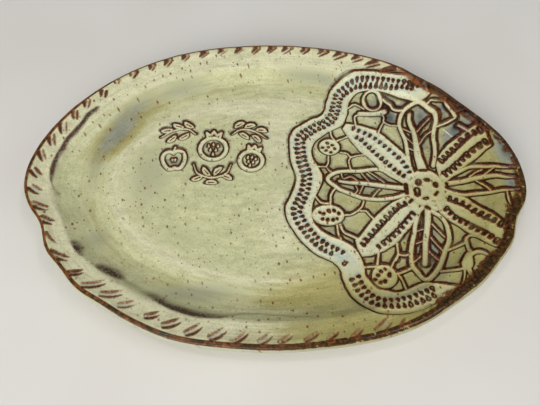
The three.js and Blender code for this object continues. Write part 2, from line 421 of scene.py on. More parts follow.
def back_coat(name, node, first, last, rows, columns):
    """A coat under the slab between two stations. Its bare end rolls over in a wandering line."""
    turn = np.linspace(0, 2 * np.pi, columns, endpoint=False)
    wander = 0.012 * np.sin(3 * turn + 0.6) + 0.008 * np.sin(11 * turn) + 0.006 * np.sin(23 * turn)
    share = np.linspace(0, 1, rows)[None, :]
    from_foot = share if first else 1 - share
    station = first + (last - first) * share
    station = station + wander[:, None] * np.exp(-((from_foot / 0.06) ** 2))
    brush = 0.05 * np.sin(40 * station + 2 * np.sin(2 * turn)[:, None])
    roll = np.exp(-((from_foot / 0.012) ** 2))
    skin = eased(SLAB_BACK, station) + UNDER_SKIN + brush - 0.12 * roll
    upper = eased(SLAB_BACK, station) + UNDER_GLAZE
    plan = in_plan(station, turn[:, None])
    below = np.concatenate([plan, skin[..., None]], -1)
    above = np.concatenate([plan, upper[..., None]], -1)[:, ::-1]
    bare = np.concatenate([from_foot, from_foot[:, ::-1]], 1)
    if not first:  # the rows at the very middle make way for one point on each side
        below, above, bare = below[:, 1:], above[:, :-1], bare[:, 1:-1]
    points = np.concatenate([below, above], 1)
    rows = points.shape[1]
    bare = np.broadcast_to(np.exp(-((bare / 0.035) ** 2)), (columns, rows)).ravel()
    faces = [wrapped_faces(columns, rows, bool(first))[:, ::-1]]
    points = points.reshape(-1, 3)
    if not first:
        low, high = len(points), len(points) + 1
        ring = np.arange(columns) * rows
        beside = np.roll(ring, -1)
        points = np.concatenate([points, [[0, 0, skin[0, 0]], [0, 0, upper[0, 0]]]])
        bare = np.append(bare, (0, 0))
        faces.append(np.stack([np.full(columns, low), beside, ring], -1))
        faces.append(np.stack([np.full(columns, high), ring + rows - 1, beside + rows - 1], -1))
    piece = millimetre_mesh(name, points, faces, glaze_finish)
    x, y = (points[:, :2] / (LENGTH / 2, WIDTH / 2)).T
    mark(piece, np.hypot(x, y) * 3, np.arctan2(y, x), press=FAR, pool=0.15, olive=0.3, thin=bare)
    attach(piece, "root")
    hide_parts(node)


back_coat("glaze_inside_foot", "floor_glaze", first=0, last=0.92, rows=90, columns=360)
back_coat("glaze_under_flange", "flange_glaze", first=1.17, last=3.05, rows=64, columns=720)


# The doily: a crocheted lace pressed into the soft clay over the right end, before the glaze. Its
# threads leave a smooth sunk floor, and what stood in its holes stays up as small islands.
LACE = (102.5, -3.9)  # the middle of the doily
CELL = 0.2  # the pressing is worked out on a square grid over the whole plate
WEST, SOUTH = -168.0, -116.0
GRID = (1161, 1681)
NEAR = 3  # how far round a thread the pressing is worked out
pressed = np.full(GRID, FAR, np.float32)


def bent_line(points, parts=5):
    """A line that bends evenly through the given points."""
    p = np.array(points, float)
    p = np.vstack([2 * p[0] - p[1], p, 2 * p[-1] - p[-2]])
    t = np.linspace(0, 1, parts, endpoint=False)[:, None]
    line = []
    for a, b, c, d in zip(p, p[1:], p[2:], p[3:]):
        curve = 2 * b + (c - a) * t + (2 * a - 5 * b + 4 * c - d) * t**2
        line.append((curve + (3 * b - a - 3 * c + d) * t**3) / 2)
    return np.vstack([*line, p[-2:-1]])


def window(low, high):
    """The part of the grid between two corners and a little round them, with its coordinates."""
    part = tuple(
        slice(max(int((low[k] - NEAR - origin) / CELL), 0),
              max(int((high[k] + NEAR - origin) / CELL) + 2, 0))
        for k, origin in ((1, SOUTH), (0, WEST))
    )
    y, x = np.mgrid[part]
    return part, WEST + x * CELL, SOUTH + y * CELL


def bead(start, end, first, last):
    """How far inside a tapered bead each nearby point lies, in millimetres."""
    start, end = np.array(start, float), np.array(end, float)
    widest = max(first, last)
    part, x, y = window(np.minimum(start, end) - widest, np.maximum(start, end) + widest)
    along = end - start
    share = (x - start[0]) * along[0] + (y - start[1]) * along[1]
    share = np.clip(share / max(along @ along, 1e-9), 0, 1)
    gap = np.hypot(x - start[0] - share * along[0], y - start[1] - share * along[1])
    return part, first + share * (last - first) - gap


def press_line(points, half, field=pressed):
    """Presses a line of that half width, or of several half widths from end to end."""
    widths = np.interp(
        np.linspace(0, 1, len(points)), np.linspace(0, 1, np.size(half)), np.atleast_1d(half)
    )
    for start, end, first, last in zip(points, points[1:], widths, widths[1:]):
        part, depth = bead(start, end, first, last)
        field[part] = np.maximum(field[part], depth)


def crossings(outline, level):
    """Where a closed outline crosses one level of y, from west to east."""
    following = np.roll(outline, -1, 0)
    cut = (outline[:, 1] > level) != (following[:, 1] > level)
    a, b = outline[cut], following[cut]
    return np.sort(a[:, 0] + (level - a[:, 1]) * (b[:, 0] - a[:, 0]) / (b[:, 1] - a[:, 1]))


def press_area(outline):
    """Presses everything inside a closed outline."""
    outline = np.asarray(outline, float)
    part, x, y = window(outline.min(0), outline.max(0))
    inside = np.zeros(x.shape, bool)
    for row, level in enumerate(y[:, 0] + 1e-4):
        where = crossings(outline, level)
        for west, east in zip(where[::2], where[1::2]):
            inside[row, (x[row] > west) & (x[row] < east)] = True
    away = np.full(GRID, -FAR, np.float32)
    for start, end in zip(outline, np.roll(outline, -1, 0)):
        near, depth = bead(start, end, 0, 0)
        away[near] = np.minimum(away[near], -depth)
    away = away[part]
    pressed[part] = np.maximum(pressed[part], np.where(inside, away, -away))


def leave_island(start, end, first, last):
    """Leaves a small island standing, thicker at one end."""
    part, depth = bead(start, end, first, last)
    pressed[part] = np.minimum(pressed[part], -depth)


def on_lace(points):
    """Points measured from the middle of the doily, in their place on the plate."""
    return np.array(points, float) + LACE


# Two wavy outlines bound the border. Between them and the button in the middle lie four ladders,
# four petals, three small buttons, an eyelet and a net of single threads. Their points are in
# millimetres from the middle of the doily.
BORDER_OUTER = (
    (8, 81), (5, 84.5), (-1, 87), (-12, 89.5), (-24, 92), (-34, 93.5), (-39, 93.5), (-43, 93.5),
    (-47.5, 91.5), (-51.5, 90), (-55.5, 87), (-58.5, 84.5), (-61, 80.5), (-62.5, 75.5),
    (-64, 71.5), (-65, 65.5), (-67.5, 61), (-71, 58.5), (-74.5, 57.5), (-79.5, 54.5),
    (-84, 51.5), (-87.5, 49), (-90, 45), (-91.5, 41), (-91.5, 31), (-91, 23), (-89.5, 16.5),
    (-88, 11.5), (-87.5, 7.5), (-88.5, 2.5), (-90.5, -3), (-93, -8.5), (-95, -13),
    (-95, -18.5), (-93.5, -24.5), (-89.5, -31.5), (-86, -37), (-81, -42.5), (-76, -47),
    (-70.5, -50), (-66, -52.5), (-63, -55.5), (-61, -59), (-60.5, -63), (-58.5, -68),
    (-56.5, -72.5), (-54, -76.5), (-50, -81), (-46, -84.5), (-42.5, -86.5), (-38.5, -87.5),
    (-32, -88), (-24, -87.5), (-16, -85.5), (-7.5, -82), (0, -79),
)
BORDER_INNER = (
    (11, 72), (6.5, 69), (1.5, 67), (-3.5, 69.5), (-10.5, 72.5), (-17, 76), (-24, 79),
    (-31.5, 80.5), (-37, 80.5), (-41.5, 79), (-45.5, 74.5), (-47.5, 70.5), (-48.5, 66),
    (-49, 61.5), (-50.5, 57.5), (-52, 53.5), (-55, 50.5), (-63.5, 46), (-69.5, 41.5),
    (-72.5, 39), (-75, 35), (-76.5, 28.5), (-75, 23), (-73, 19), (-70, 12), (-69.5, 7.5),
    (-71, 2.5), (-73, -2), (-76, -8.5), (-77.5, -15), (-77, -23.5), (-72, -30.5),
    (-66, -34.5), (-58.5, -37.5), (-51.5, -42.5), (-48, -49), (-46, -56.5), (-46, -61),
    (-43.5, -64.5), (-39, -70), (-33, -71.5), (-29, -73), (-24.5, -72.5), (-20.5, -71),
    (-12, -67.5), (-7, -68.5), (0.5, -70), (8.5, -71),
)
LADDERS = (
    ((-50.5, 53), (-43.5, 52), (-36, 49.5), (-28.5, 46.5), (-24, 42), (-19.5, 37), (-15, 32),
     (-11, 27), (-7.5, 19), (-5.5, 9.5), (-11.5, 3.5), (-16.5, 7), (-21, 10.5), (-26, 14),
     (-30, 16.5), (-33.5, 21), (-38, 26), (-42.5, 30), (-48, 38.5), (-53.5, 49)),
    ((9.5, 18.5), (12, 25), (15.5, 29.5), (20, 34.5), (25, 37.5), (31, 40.5), (38.5, 46), (44, 39),
     (46.5, 28), (41.5, 25), (37.5, 21.5), (31.5, 18), (26, 14.5), (19.5, 9), (10.5, 5)),
    ((13, -1), (19.5, -4), (23, -5.5), (27, -8), (30.5, -12.5), (35, -18), (38.5, -23.5),
     (43, -28.5), (44, -32.5), (39.5, -42), (35.5, -47.5), (34.5, -47), (28, -41.5), (22, -33.5),
     (18, -28.5), (12.5, -24), (7, -18.5), (4.5, -11)),
    ((-15, -5.5), (-19.5, -8), (-23.5, -10), (-29, -14.5), (-33, -18), (-38, -23), (-42.5, -28.5),
     (-47, -34.5), (-50.5, -37), (-49.5, -43), (-47, -49), (-41.5, -48.5), (-33, -45.5),
     (-25.5, -41), (-22, -38), (-18.5, -33.5), (-14, -29), (-10.5, -24), (-6, -16), (-6.5, -8.5)),
)
PETAL_THREADS = (  # half widths from end to end, and the line
    ((1.4,), ((-11.5, 3.5), (-18, 8), (-22, 10.5), (-26.5, 14), (-31, 15.5), (-37, 15),
      (-43.5, 14), (-51.5, 14), (-57.5, 13.5), (-61.5, 12), (-64.5, 10), (-66, 7.5), (-64.5, 5),
      (-61.5, 2.5), (-58, -0.5), (-52.5, -3), (-47, -5.5), (-42.5, -7), (-33, -8), (-27, -7.5),
      (-21, -6.5), (-16, -5), (-11, -4))),
    ((1.0, 1.7, 1.8), ((-58, 6), (-52, 5), (-44.5, 4.5), (-35, 3.5), (-26, 2), (-13, 0.5))),
    ((1.4,), ((-8.5, 16), (-9, 23.5), (-9, 27.5), (-9, 33), (-9.5, 39.5), (-11, 45), (-12, 51),
      (-11, 57), (-8.5, 62.5), (-4, 66), (1.5, 67.5), (5.5, 65), (9, 61.5), (12.5, 58), (13.5, 53),
      (12, 47), (11, 40.5), (11, 33.5), (10, 26), (7.5, 17.5))),
    ((1.2, 1.6, 1.9, 2.6, 3.2), ((-4, 60), (-4.5, 56), (-4, 52), (-2.5, 46.5), (-2, 40.5),
      (-2, 33), (-2, 25.5), (-1, 19), (0, 12.5))),
    ((1.3, 1.2, 0.8), ((13.5, 5.5), (19, 10), (25, 13), (31, 15.5), (36.5, 15), (41.5, 13.5),
      (49, 11.5), (57.5, 9.5))),
    ((1.7, 1.6, 1.0), ((13, 3.5), (19.5, 4.5), (27, 5.5), (32.5, 6.5), (39.5, 6.5), (44, 6),
      (50, 4), (56, 2.5))),
    ((1.3, 1.2, 0.8), ((12, -1), (18.5, -3.5), (25, -5), (30.5, -5), (37.5, -5.5), (44, -6),
      (50.5, -6), (56.5, -7))),
    ((1.5,), ((-3, -13.5), (-7, -17.5), (-8.5, -21.5), (-10.5, -27), (-12, -33.5), (-14, -39.5),
      (-15.5, -45.5), (-16, -51), (-15.5, -55.5), (-13.5, -59.5), (-11.5, -64), (-9, -65.5),
      (-6, -63.5), (-3, -60.5), (0.5, -56), (3.5, -50.5), (6.5, -44.5), (10, -37.5), (10.5, -30),
      (9.5, -25), (7, -21), (3, -18), (-0.5, -15))),
    ((2.2, 2.0, 1.6), ((-0.5, -13.5), (-1.5, -21), (-2.5, -27), (-4, -33.5), (-5.5, -39.5),
      (-6.5, -46.5), (-8, -54))),
)
NET_THREADS = (  # half width, and the line
    (0.6, ((-56, 29), (-51.5, 28), (-49, 25))),
    (0.6, ((-49, 25), (-43.5, 26.5), (-36.5, 27.5))),
    (0.6, ((-49, 25), (-50.5, 21.5), (-49.5, 15))),
    (0.6, ((-64.5, 26), (-65, 20.5), (-66.5, 17.5))),
    (0.6, ((-66.5, 17.5), (-72, 17.5))),
    (0.6, ((-66.5, 17.5), (-65, 15), (-62.5, 12.5))),
    (0.7, ((-62, 47), (-61.5, 42.5), (-59, 38.5))),
    (0.7, ((-58, 38.5), (-50.5, 42))),
    (0.8, ((-60.5, 1), (-63, -2), (-64.5, -5.5), (-65, -11.5))),
    (0.7, ((-76, -4), (-73, -8.5), (-71, -10.5), (-66.5, -11))),
    (0.7, ((-42, -7.5), (-44, -13), (-47.5, -16.5), (-51.5, -19), (-56, -19.5))),
    (0.7, ((-47.5, -16.5), (-42, -16.5), (-39.5, -19.5), (-36.5, -23))),
    (0.8, ((-59.5, -26.5), (-57.5, -31.5), (-53.5, -34), (-47.5, -37))),
    (0.7, ((-61.5, -26.5), (-61, -33), (-59.5, -36.5))),
    (0.7, ((-49.5, 66), (-47.5, 67), (-43.5, 70), (-40, 68.5), (-36.5, 66))),
    (0.7, ((-37.5, 62), (-43, 59.5), (-44, 57), (-43.5, 52))),
    (0.5, ((-43, 60), (-32.5, 60), (-23, 60))),
    (0.9, ((-22, 73), (-19.5, 70.5), (-17, 68.5), (-15.5, 65.5), (-12.5, 64), (-7.5, 63.5))),
    (0.7, ((-24, 64.5), (-22.5, 58.5), (-23, 54.5), (-19, 51.5), (-12.5, 51))),
    (0.6, ((-23, 54.5), (-26.5, 48), (-28, 43.5))),
    (0.8, ((8, 65), (10.5, 67), (15, 66), (19.5, 65))),
    (1.4, ((19.5, 65.5), (21, 61.5), (23.5, 57.5), (25.5, 53))),
    (0.7, ((13, 48.5), (18.5, 49.5), (21.5, 50), (25.5, 51.5))),
    (0.8, ((25, 56), (30.5, 56.5))),
    (0.7, ((27, 46), (32, 41.5))),
    (0.8, ((-36, -44.5), (-38, -55.5))),
    (0.8, ((-24, -40), (-24, -47.5), (-26, -51.5))),
    (0.7, ((-24, -47.5), (-19, -48), (-15, -45.5))),
    (0.7, ((-24, -47.5), (-27, -52), (-29.5, -56.5))),
    (0.8, ((-26.5, -60.5), (-20.5, -58.5), (-15.5, -56))),
    (0.7, ((-25.5, -60.5), (-23.5, -64.5), (-22.5, -72))),
    (0.8, ((-46.5, -56), (-39, -55.5))),
    (0.9, ((8, -45), (15, -42.5), (19, -40.5), (20, -38), (22.5, -36), (25.5, -37))),
    (1.0, ((19.5, -39), (19, -46.5), (19.5, -50))),
    ((1.6, 2.8, 3.5, 3.0), ((18, -50), (16, -55.5), (15, -58))),
    (1.3, ((19, -50.5), (22.5, -49), (26, -49.5), (29.5, -52))),
    (0.9, ((15, -58.5), (13.5, -59.5), (7.5, -60.5), (0, -60.5))),
    (1.7, ((15.5, -57), (16, -62.5), (17, -67.5))),
    (0.9, ((13.5, -59), (11.5, -66.5), (8.5, -72))),
    (0.8, ((50, -7), (49.5, -13), (50, -17.5))),
    (0.5, ((-56.5, 12), (-55, 8), (-50, 9.5), (-46, 6.5))),
    (0.5, ((-42.5, 12.5), (-38, 6))),
    (0.5, ((-37.5, 13.5), (-32.5, 9.5), (-27.5, 5))),
    (0.5, ((-47, 2.5), (-46, -1), (-48.5, -4))),
    (0.5, ((-42, 2.5), (-45, -3.5))),
    (0.6, ((-31, -0.5), (-32.5, -1.5), (-37, -7))),
    (0.5, ((9, 55), (5, 51.5), (0, 46))),
    (0.5, ((11, 46.5), (5.5, 42.5), (0.5, 35.5))),
    (0.5, ((-10, 48.5), (-4.5, 45.5))),
    (0.5, ((-8.5, 41), (-4, 35.5))),
    (0.5, ((-8, 32), (-3.5, 29.5))),
    (0.5, ((0.5, -26.5), (7.5, -35.5))),
    (0.5, ((-1.5, -36), (4.5, -45))),
    (0.5, ((-4, -45.5), (1, -52))),
    (0.5, ((-10, -31.5), (-5.5, -30))),
    (0.5, ((-11.5, -40), (-7, -38.5))),
    (0.5, ((-14.5, -52.5), (-10, -49))),
    (0.6, ((30.5, 8), (35, 11), (38.5, 12))),
    (0.5, ((39.5, 8), (42.5, 10), (45, 11.5))),
    (0.6, ((34.5, 4.5), (39.5, -1), (41.5, -5.5))),
    (2.0, ((-39.5, 61.3), (-30, 61.5), (-21.8, 63.4))),
    (2.0, ((2.4, -14.4), (4.6, -15.2))),
)
BUTTONS = (  # the middle, half the width and half the height
    (-63.5, 33.5, 7.4, 6.6), (-67, -19.5, 10.8, 7.5), (-30, 72.5, 7.6, 8.6), (-34, -62, 8, 7.8),
    (0, 0, 13.2, 14.2),
)
# Rows of islands along the ladders: how many, on which side of the line they point, how heavy
# they are, and the line. Those of the first ladder are drops; the others stand on a comb.
LADDER_ROWS = (
    (13, -1, 1.0, ((-45.5, 49), (-38.5, 45.5), (-31.5, 41), (-25.5, 35.5), (-19, 28.5),
                   (-13, 21), (-9.5, 13))),
    (12, 1, 1.05, ((-43.5, 41.5), (-40.5, 39.5), (-36, 34), (-31.5, 28.5), (-25, 21.5),
                   (-19, 15), (-13.5, 10))),
    (9, 1, 1.35, ((14, 21.5), (18.5, 26), (25.5, 31.5), (31, 36.5), (40.5, 40))),
    (9, -1, 1.35, ((14.5, 11.5), (21.5, 16.5), (29, 23.5), (36, 28), (42.5, 31.5))),
    (9, 1, 1.3, ((15, -8), (23, -11.5), (28.5, -17.5), (34.5, -24.5), (40.5, -30.5))),
    (10, -1, 1.25, ((12, -15), (17, -21.5), (22, -25.5), (28.5, -32.5), (36, -41.5))),
    (11, -1, 1.2, ((-15, -11.5), (-19, -13), (-24.5, -18), (-31, -24.5), (-37.5, -31.5),
                   (-45.5, -40.5))),
    (9, 1, 1.1, ((-11, -18.5), (-16.5, -24.5), (-21.5, -30), (-28.5, -36.5), (-36, -42))),
)
DROP_ROWS = 2
# Islands on the buttons and in the corners: from where to where, and the half width at each end.
LOOSE_ISLANDS = (
    ((-6, -4.2), (-6, -1.3), 1.7, 1.9), ((-4.5, 4.2), (-4.1, 5.3), 1.7, 1.7),
    ((0.9, 6.5), (2.4, 6.4), 1.2, 1.2), ((7, 2.1), (7.1, 3.1), 1.4, 1.5),
    ((5.6, -5.2), (7.6, -2.8), 0.7, 0.7), ((-2.1, -7.7), (0.2, -7.3), 0.7, 0.8),
    ((-1.2, -14.2), (0.4, -15.2), 1.1, 0.8), ((-2, 14), (2, 14), 0.75, 0.75),
    ((-13, -3.2), (-13, 3), 1.1, 1.2), ((15.2, 0), (14.7, 3.8), 0.7, 0.9),
    ((-12, -10.3), (-10.3, -8.6), 0.7, 0.9),
    ((-65, 37), (-64.6, 36.6), 0.8, 0.8), ((-61.5, 35), (-61, 35), 0.8, 0.7),
    ((-60, 32.5), (-59.7, 32), 0.7, 0.8), ((-68.5, 33), (-68, 33), 0.7, 0.7),
    ((-66, 30.5), (-65.6, 30.8), 0.8, 0.7), ((-63, 29), (-62.6, 29.2), 0.7, 0.8),
    ((-64.3, 33.4), (-64, 33.4), 0.7, 0.7),
    ((-72.5, -17.5), (-72.2, -17.8), 0.8, 0.8), ((-70, -18.5), (-69.6, -18.2), 0.9, 0.8),
    ((-66.5, -16.3), (-66.2, -16.8), 1.2, 1.0), ((-63, -16), (-62.7, -16.4), 1.0, 0.9),
    ((-60, -18), (-59.8, -18.6), 0.9, 0.8), ((-71, -22.3), (-70.6, -22), 0.9, 0.8),
    ((-67.5, -22.9), (-67.2, -22.3), 1.0, 0.8), ((-64, -23), (-63.8, -22.4), 1.0, 0.8),
    ((-61.3, -22.2), (-61.2, -21.8), 0.8, 0.7),
    ((-30.5, 74.4), (-29.5, 70.6), 3.3, 3.4),
    ((-36, -58.5), (-35.6, -58.7), 0.9, 0.8), ((-38, -61.2), (-37.6, -61), 1.0, 0.8),
    ((-40, -64), (-39.5, -64), 1.0, 0.8), ((-37, -66), (-36.6, -65.6), 0.9, 0.8),
    ((-34.2, -65.2), (-33.8, -64.6), 1.1, 0.9), ((-31, -61.3), (-30.6, -60), 1.1, 0.9),
    ((-33.4, -57), (-33, -57.3), 0.7, 0.7),
    ((0.5, 82.5), (3.5, 80.5), 1.3, 0.8), ((-3.4, 80.6), (-2.2, 79.2), 1.1, 0.7),
)


def spaced_along(line, pitch=None, count=None):
    """Even steps along a line, with the direction of the line at each."""
    run = np.concatenate([[0], np.cumsum(np.hypot(*np.diff(line, axis=0).T))])
    at = np.linspace(0, run[-1], count or int(run[-1] / pitch) + 1)
    behind, spots, ahead = (
        np.stack([np.interp(at + off, run, line[:, k]) for k in (0, 1)], -1) for off in (-1, 0, 1)
    )
    way = ahead - behind
    return spots, way / np.linalg.norm(way, axis=1, keepdims=True)


def moved_in(line, distance):
    """The line moved to its left by a distance."""
    way = np.gradient(line, axis=0)
    way /= np.linalg.norm(way, axis=1, keepdims=True)
    return line + distance * np.stack([-way[:, 1], way[:, 0]], -1)


border_outer = bent_line(on_lace(BORDER_OUTER))
border_inner = bent_line(on_lace(BORDER_INNER))
press_area(np.vstack([border_outer, border_inner[::-1]]))
for ladder in LADDERS:
    press_area(on_lace(ladder))
for widths, thread in PETAL_THREADS:
    press_line(bent_line(on_lace(thread)), widths)
for half, thread in NET_THREADS:
    press_line(bent_line(on_lace(thread)), half)
for x, y, across, tall in BUTTONS:
    round_it = np.linspace(0, 2 * np.pi, 40, endpoint=False)
    press_area(on_lace(np.stack([x + across * np.cos(round_it), y + tall * np.sin(round_it)], -1)))

hand = np.random.default_rng(7)
frosted = np.full(GRID, FAR, np.float32)
for number, (count, side, heavy, row) in enumerate(LADDER_ROWS):
    drops = number < DROP_ROWS
    line = bent_line(on_lace(row))
    for spot, (dx, dy) in zip(*spaced_along(line, count=count)):
        inward = side * np.array([-dy, dx])
        size = hand.uniform(0.88, 1.12) * heavy
        base = spot - inward * 0.5 + hand.normal(0, 0.12, 2)
        leave_island(base, spot + inward * 1.2 * size, 1.3 * size, (0.75 if drops else 1.0) * size)
    comb = moved_in(line, -1.0 * side)
    for start, end in zip(comb[::3], comb[3::3]):
        if not drops:
            leave_island(start, end, *hand.uniform(0.45, 0.8 * heavy**2, 2))
    press_line(line, 1.8, frosted)

ISLAND_PITCH = 3.7
WORN, WORN_REACH = (-58, -55), 9  # hardly any island of the border came out near here
for depth, apex, shift in ((5.4, 1, 0), (9.3, -1, 0.5)):
    row = moved_in(border_outer, depth)
    smooth = np.stack([np.convolve(part, np.ones(5) / 5, "valid") for part in row.T], -1)
    spots, way = spaced_along(smooth, pitch=ISLAND_PITCH)
    for spot, (dx, dy), step in zip(spots, way, np.diff(spots, axis=0)):
        inward = apex * np.array([-dy, dx])
        size = hand.uniform(0.86, 1.1)
        spot = spot + step * shift + hand.normal(0, 0.15, 2)
        if np.hypot(*(spot - on_lace(WORN))) < WORN_REACH and hand.random() < 0.75:
            continue
        leave_island(spot - inward * 0.6, spot + inward * 1.1 * size, 1.42 * size, 0.75 * size)
    press_line(smooth[::4], 2.4, frosted)
for start, end, first, last in LOOSE_ISLANDS:
    fuller = 1.45 if start[1] > 60 else 1.3
    leave_island(on_lace(start), on_lace(end), first * fuller, last * fuller)


# The stamped fruit: pomegranates and an apple between leafy twigs, each made with a small wooden
# stamp pushed into the floor of the well beside the doily.
STAMPS = (-43.2, 24.9)  # the middle of the stamped group
STAMP_SCALE = 1.08


def on_stamps(points, centre=(0, 0), size=1.0, turn=0.0):
    """Points drawn round a stamp's middle, turned and put in their place on the plate."""
    points = np.array(points, float) * size
    cos, sin = math.cos(math.radians(turn)), math.sin(math.radians(turn))
    turned = np.stack([points[:, 0] * cos - points[:, 1] * sin,
                       points[:, 0] * sin + points[:, 1] * cos], -1)
    return (turned + np.array(centre)) * STAMP_SCALE + STAMPS


def ring_line(across, tall, steps=24):
    angle = np.linspace(0, 2 * np.pi, steps + 1)
    return np.stack([across * np.cos(angle), tall * np.sin(angle)], -1)


def stamp_leaf(centre, turn, long=8.5, size=0.9):
    stem = ((-long / 2, 0), (-long / 4, 0.7), (0, 0.9), (long / 4, 0.6), (long / 2, 0))
    line = bent_line(on_stamps(stem, centre, size, turn), 4)
    press_line(line, (0.4, 1.8 * size, 2.2 * size, 1.8 * size, 0.2))
    vein = on_stamps(((-long / 4, 0.6), (long / 5, 0.6)), centre, size, turn)
    leave_island(vein[0], vein[1], 0.35, 0.15)


def stamp_pomegranate(centre, size, turn):
    press_line(on_stamps(ring_line(8.2, 7.8), centre, size, turn), 1.5)
    crown = ((-3.6, 7.2), (-4.6, 11.6), (-1.9, 9.6), (0, 12.6), (1.9, 9.6), (4.6, 11.6), (3.6, 7.2))
    press_line(on_stamps(crown, centre, size, turn), 1.0)
    for x, y in ((-2.9, 2.2), (0, 3.2), (2.9, 2.2), (-1.7, -0.8), (1.7, -0.8), (0, -3.8)):
        seed = on_stamps(((x, y - 0.5), (x, y + 0.8)), centre, size, turn)
        press_line(seed, (0.95, 0.5))


def stamp_apple(centre, size, turn):
    side = ((0, 6), (2.6, 7.3), (5.8, 6.4), (7.6, 2.8), (6.8, -2), (4.2, -6.2), (1.6, -6.6),
            (0, -5.8))
    for flip in (1, -1):
        half = [(x * flip, y) for x, y in side]
        press_line(bent_line(on_stamps(half, centre, size, turn), 4), 1.4)
    press_line(bent_line(on_stamps(((0, 5), (0.3, 7.6), (1.6, 10.2)), centre, size, turn)), 0.8)
    press_line(on_stamps(((-1, 0.8), (-0.8, -1)), centre, size, turn), (0.9, 0.4))
    press_line(on_stamps(((1, 0.8), (0.8, -1)), centre, size, turn), (0.9, 0.4))


stamp_pomegranate((0, 3), 1.05, 0)
stamp_apple((-25, -6), 0.95, 8)
stamp_pomegranate((25, -6), 0.9, -12)
TWIGS = (
    ((-12, -9), (-9, -15.5), (0, -18.5), (9, -15.5), (12, -9)),
    ((-12, 14), (-18, 18), (-27, 16.5), (-35, 11)),
    ((12, 14), (18, 18), (27, 16.5), (35, 11)),
)
for twig in TWIGS:
    press_line(bent_line(on_stamps(twig)), (0.45, 0.9, 0.45))
LEAVES = (  # the middle, and the turn in degrees
    (-9.5, -18.5, 205), (9.5, -18.5, -25), (-3.4, -13.8, 130), (4, -13.8, 50), (0, -22.5, 0),
    (-17, 21.5, 150), (-24, 20.5, 165), (-31.5, 17, 190), (-20, 12.5, 215), (-28, 10.5, 225),
    (17, 21.5, 30), (24, 20.5, 15), (31.5, 17, -10), (20, 12.5, -35), (28, 10.5, -45),
)
for x, y, turn in LEAVES:
    stamp_leaf((x, y), turn)


# The rope edge: slanting dents rolled into the strip with a round tool, all the way round to the
# doily, from the crest to a little short of the strip's inner side. They run out at both ends.
dented, stroked = np.zeros(GRID, np.float32), np.zeros(GRID, np.float32)


def roll_dent(line, half, strong):
    """Rolls one dent, and keeps where the glaze will break along its two sides."""
    first, last = line[0], line[-1]
    part, x, y = window(line.min(0) - half, line.max(0) + half)
    length = np.hypot(*(last - first))
    along = (last - first) / length
    run = (x - first[0]) * along[0] + (y - first[1]) * along[1]
    share = np.clip(run / length, 0, 1)
    bow = np.interp(share, np.linspace(0, 1, len(line)), (line - first) @ (-along[1], along[0]))
    off = (y - first[1]) * along[0] - (x - first[0]) * along[1] - bow
    wide = half * (0.8 + 0.2 * np.sin(np.pi * share))
    fade = np.clip(share / 0.08, 0, 1) * np.clip((1 - share) / 0.35, 0, 1)
    fade = fade * (np.abs(run - share * length) < 0.2)
    groove = 1 - np.clip((np.abs(off) - wide + 0.5) / 0.9, 0, 1)
    dented[part] = np.maximum(dented[part], fade * groove * groove * (3 - 2 * groove))
    for side, strength, thick in ((-1, strong[0], 1), (0.1, 0.22, 0.4), (1, strong[1], 1)):
        brush = thick * (0.7 + 0.45 * np.sin(np.pi * share**0.8))
        edge = np.exp(-(((off - side * wide) / brush) ** 2)) * fade**0.5 * strength
        stroked[part] = np.maximum(stroked[part], edge)


